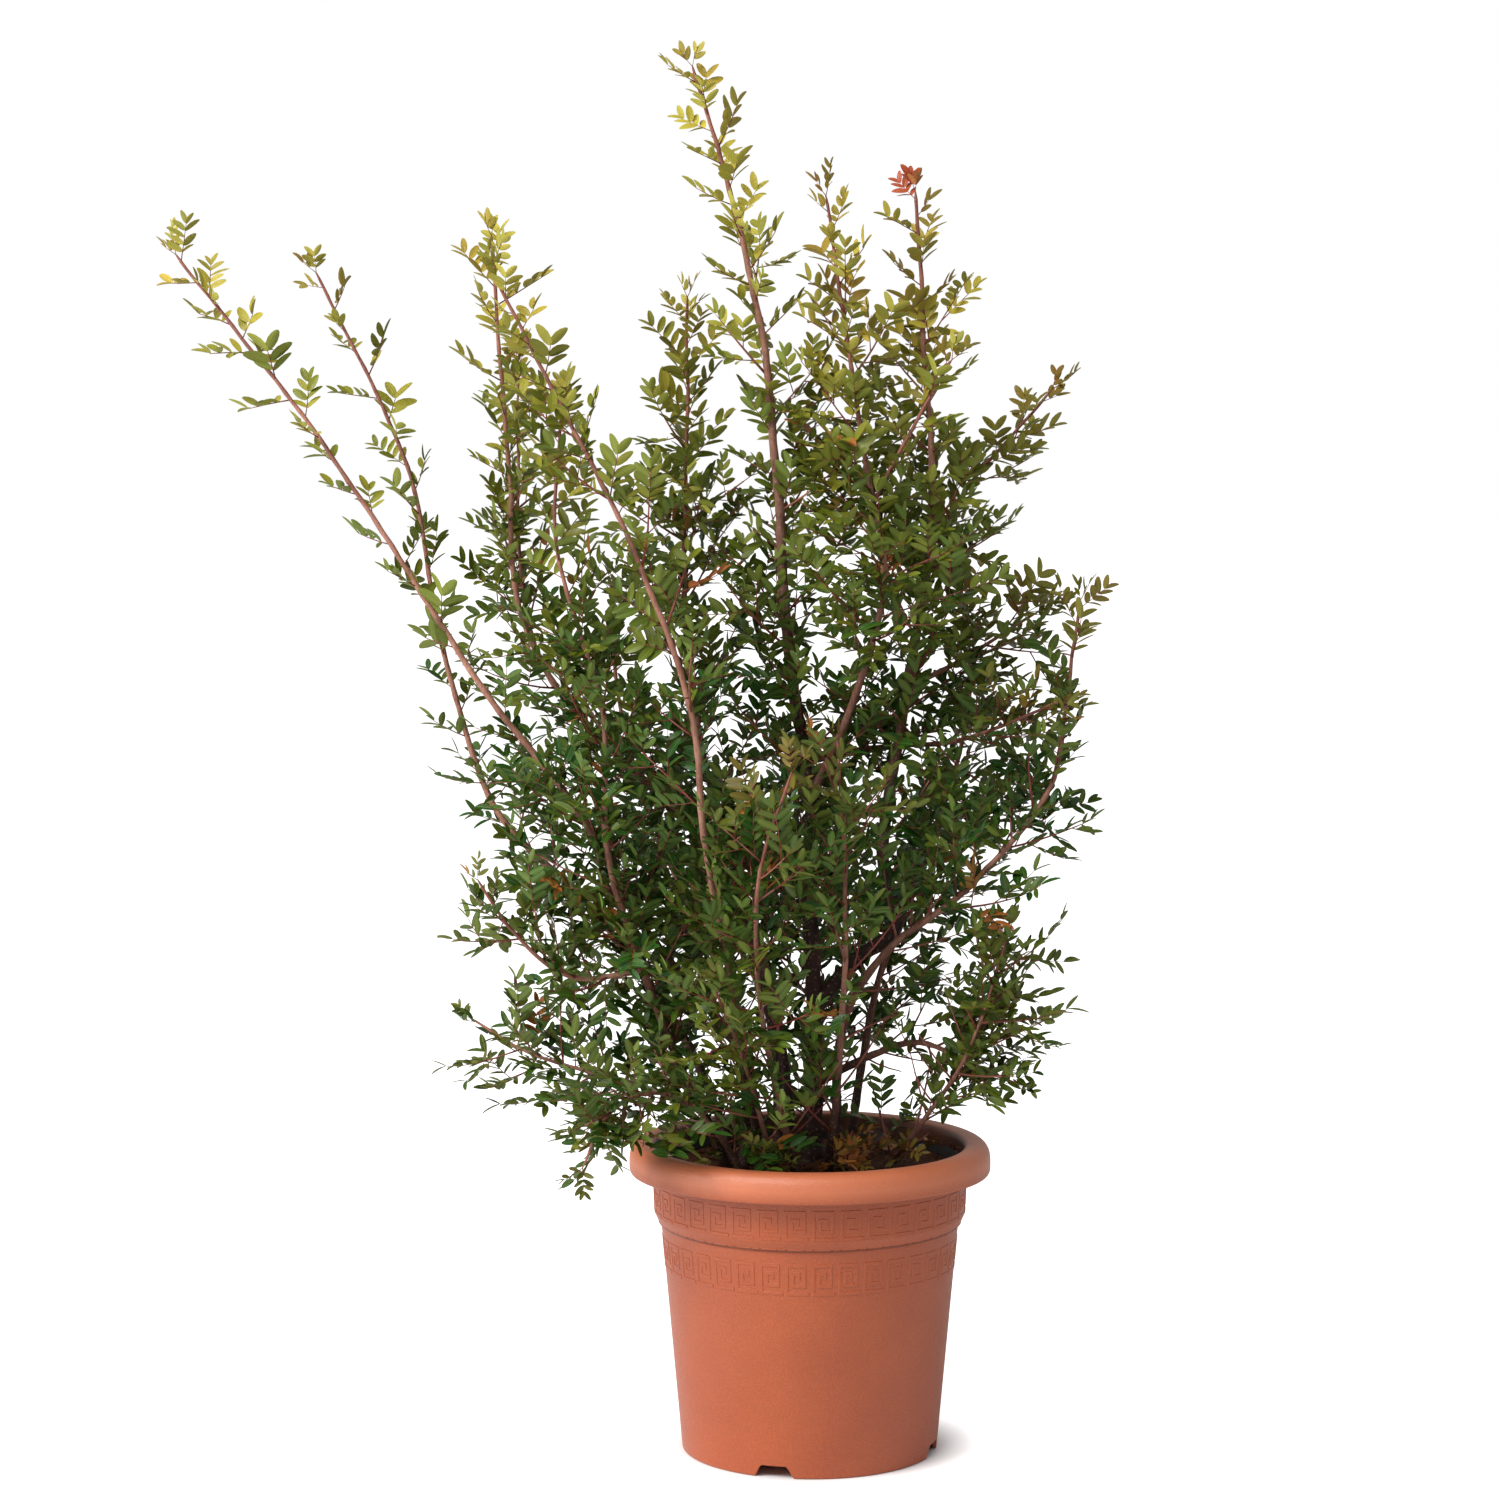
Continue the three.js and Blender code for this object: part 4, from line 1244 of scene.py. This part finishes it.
# %% Habit of the stems
LEAF_STEP = 13.5 * MM
TWIG_STEP = 14 * MM
SPARSE = {  # leaf spacing, as a share of LEAF_STEP
    "left_arching": 1.3, "left_sparse": 1.7, "left_upright": 1.35, "left_back": 1.4,
    "left_leaning": 1.2, "centre_back": 0.7, "leader": 0.78, "right_back": 1.3}
THIN_TWIGS = {  # twig spacing, as a share of TWIG_STEP
    "front_low": 1.5, "front_left": 1.3, "front_centre": 1.3, "right_inner": 0.6,
    "leader": 0.8, "left_upright": 1.4, "left_leaning": 1.4, "left_inner": 1.15,
    "left_back": 1.4, "left_sparse": 1.3, "left_arching": 1.3, "left_hanging": 0.42,
    "left_low": 0.8, "left_low_back": 0.8, "right_low": 0.5, "right_front": 0.45,
    "right_second": 0.75}
FILLED_FROM = {  # where leaves begin, as a share of the stem
    "leader": 0.2, "right_tall": 0.2, "left_hanging": 0.12, "left_low": 0.08,
    "left_low_back": 0.08, "left_arching": 0.15, "left_sparse": 0.15, "right_low": 0.15,
    "right_front": 0.12}
TWIGGY_TO = {  # where side twigs end above the crown, as a share of the stem
    "leader": 0.82, "right_tall": 0.84, "right_inner": 0.86, "right_back": 0.8,
    "centre_back": 0.88, "left_upright": 0.82, "left_leaning": 0.84, "left_back": 0.8}
BARE_FRONT = {"left_leaning": 0.8, "right_tall": 0.45, "leader": 0.45, "left_arching": 0.4}
BASAL = {  # which way the twig at soil height points, and how bronze it is
    "left_inner": (-1.0, -0.55, 0.25), "front_low": (-0.25, -1.0, 0.1),
    "front_centre": (0.35, -0.9, 0.75), "right_second": (0.5, -0.85, 0.6),
    "right_front": (0.9, -0.35, 0.45), "front_left": (-0.5, -0.9, 0.2)}
print("leaf step", LEAF_STEP, "m, twig step", TWIG_STEP, "m")

# %% Clothe a stem


def clothe(name, seed):
    """Puts leaves and leafy twigs on one stem."""
    foliage = Foliage(name, seed)
    dice = foliage.dice
    line, _ = centre_lines[name]
    start, foot_reach, tip_reach = STEMS[name][3]
    last = len(line) - 1
    turn = dice.uniform(0, 6.28)
    since_leaf = since_twig = 1.0
    for i in range(round(FILLED_FROM.get(name, start * 0.85) * last), last):
        share = (i / last - start) / (1 - start)
        reach = lerp(foot_reach, tip_reach, max(0, share)) * MM
        step = (line[i + 1] - line[i]).length
        since_leaf += step
        since_twig += step
        heading = (line[i + 1] - line[i]).normalized()
        to_tip = (last - i) * STATION
        small = min(1, 0.7 + to_tip / 0.2)
        dense = in_crown(line[i]) or name == "left_hanging"
        twiggy = dense or i / last < TWIGGY_TO.get(name, 0)
        twig_step = TWIG_STEP * THIN_TWIGS.get(name, 1) * dice.uniform(0.7, 1.3) * (1 if dense else 3.2)
        bare_front = BARE_FRONT.get(name, 0) if to_tip > 0.25 else 0
        leaf_step = LEAF_STEP * SPARSE.get(name, 1) * (1.6 if dense else 1 if to_tip > 0.16 else 0.8)
        if twiggy and to_tip > 0.04 and since_twig > twig_step:
            since_twig = 0.0
            turn += GOLDEN
            out = splayed(heading, turn, dice.uniform(38, 72))
            out = (out + UP * (-0.55 if name == "left_hanging" else 0.08)).normalized()
            length = reach * dice.uniform(0.9, 1.75 if dense else 1.3) * min(1, 0.35 + to_tip / 0.2)
            if out.y > -0.15 or dice.random() > bare_front:
                foliage.leafy_twig(line[i], out, length, to_tip)
        if share > -0.1 and since_leaf > leaf_step * dice.uniform(0.8, 1.2):
            since_leaf = 0.0
            turn += GOLDEN
            out = splayed(heading, turn, dice.uniform(36, 62))
            scale = small * dice.uniform(0.72, 1.0) * min(1.05, reach / (44 * MM) + 0.25)
            if out.y > -0.15 or dice.random() > bare_front:
                foliage.add_leaf(line[i], out.normalized(), scale,
                                 leaf_tone(line[i], dice), leaf_blush(name, line[i], to_tip, dice))
    tip_heading = (line[-1] - line[-3]).normalized()
    for k in range(2):
        out = (tip_heading + sideways(tip_heading, turn + k * 2.9) * 0.5).normalized()
        foliage.add_leaf(line[-1], out, dice.uniform(0.5, 0.66),
                         leaf_tone(line[-1], dice), leaf_blush(name, line[-1], 0.0, dice))
    if name in BASAL:
        across, deep, bronze = BASAL[name]
        soil_spot = next(p for p in line if p.z > SOIL_RIM + 6 * MM)
        for k in range(2):
            out = Vector((across + dice.gauss(0, 0.3), deep + dice.gauss(0, 0.3), 0.35)).normalized()
            foliage.leafy_twig(soil_spot, out, dice.uniform(38, 62) * MM, 0.0, 0.62, bronze)
    finish_piece("leafage_" + name, foliage.bm, [leaf_paint, bark], ["leaves_" + name], 0)
    return foliage.leaves


total = sum(clothe(name, 100 + i) for i, name in enumerate(STEMS))
print(total, "leaves on the tree")

# %% [markdown]
# ## Fallen leaflets
# A few dry leaflets lie on the soil. Each is a leaflet with more rows, curled as it dried,
# and it lies where the frame has its plain stand-in.

# %% Fallen leaflets
dice = random.Random(23)
for name in sorted(n for n in nodes if n.startswith("fallen_leaf")):
    corners = [v.co for v in nodes[name].data.vertices]
    middle = sum(corners, Vector()) / len(corners)
    far = max(corners, key=lambda c: (c - middle).length)
    turn = atan2(far.y - middle.y, far.x - middle.x)
    blade = leaflet(27 * MM, 11 * MM, -0.25, -0.12, 0.7, 12)
    seat = (Matrix.Translation((middle.x, middle.y, soil_height(middle.x, middle.y) + 3.2 * MM))
            @ Matrix.Rotation(turn, 4, "Z")
            @ Matrix.Rotation(dice.uniform(-0.2, 0.2), 4, "X")
            @ Matrix.Translation((-13 * MM, 0, 0)))
    bmesh.ops.transform(blade, matrix=seat, verts=blade.verts)
    finish_piece("dry_" + name, blade, [dry], [name], 50)
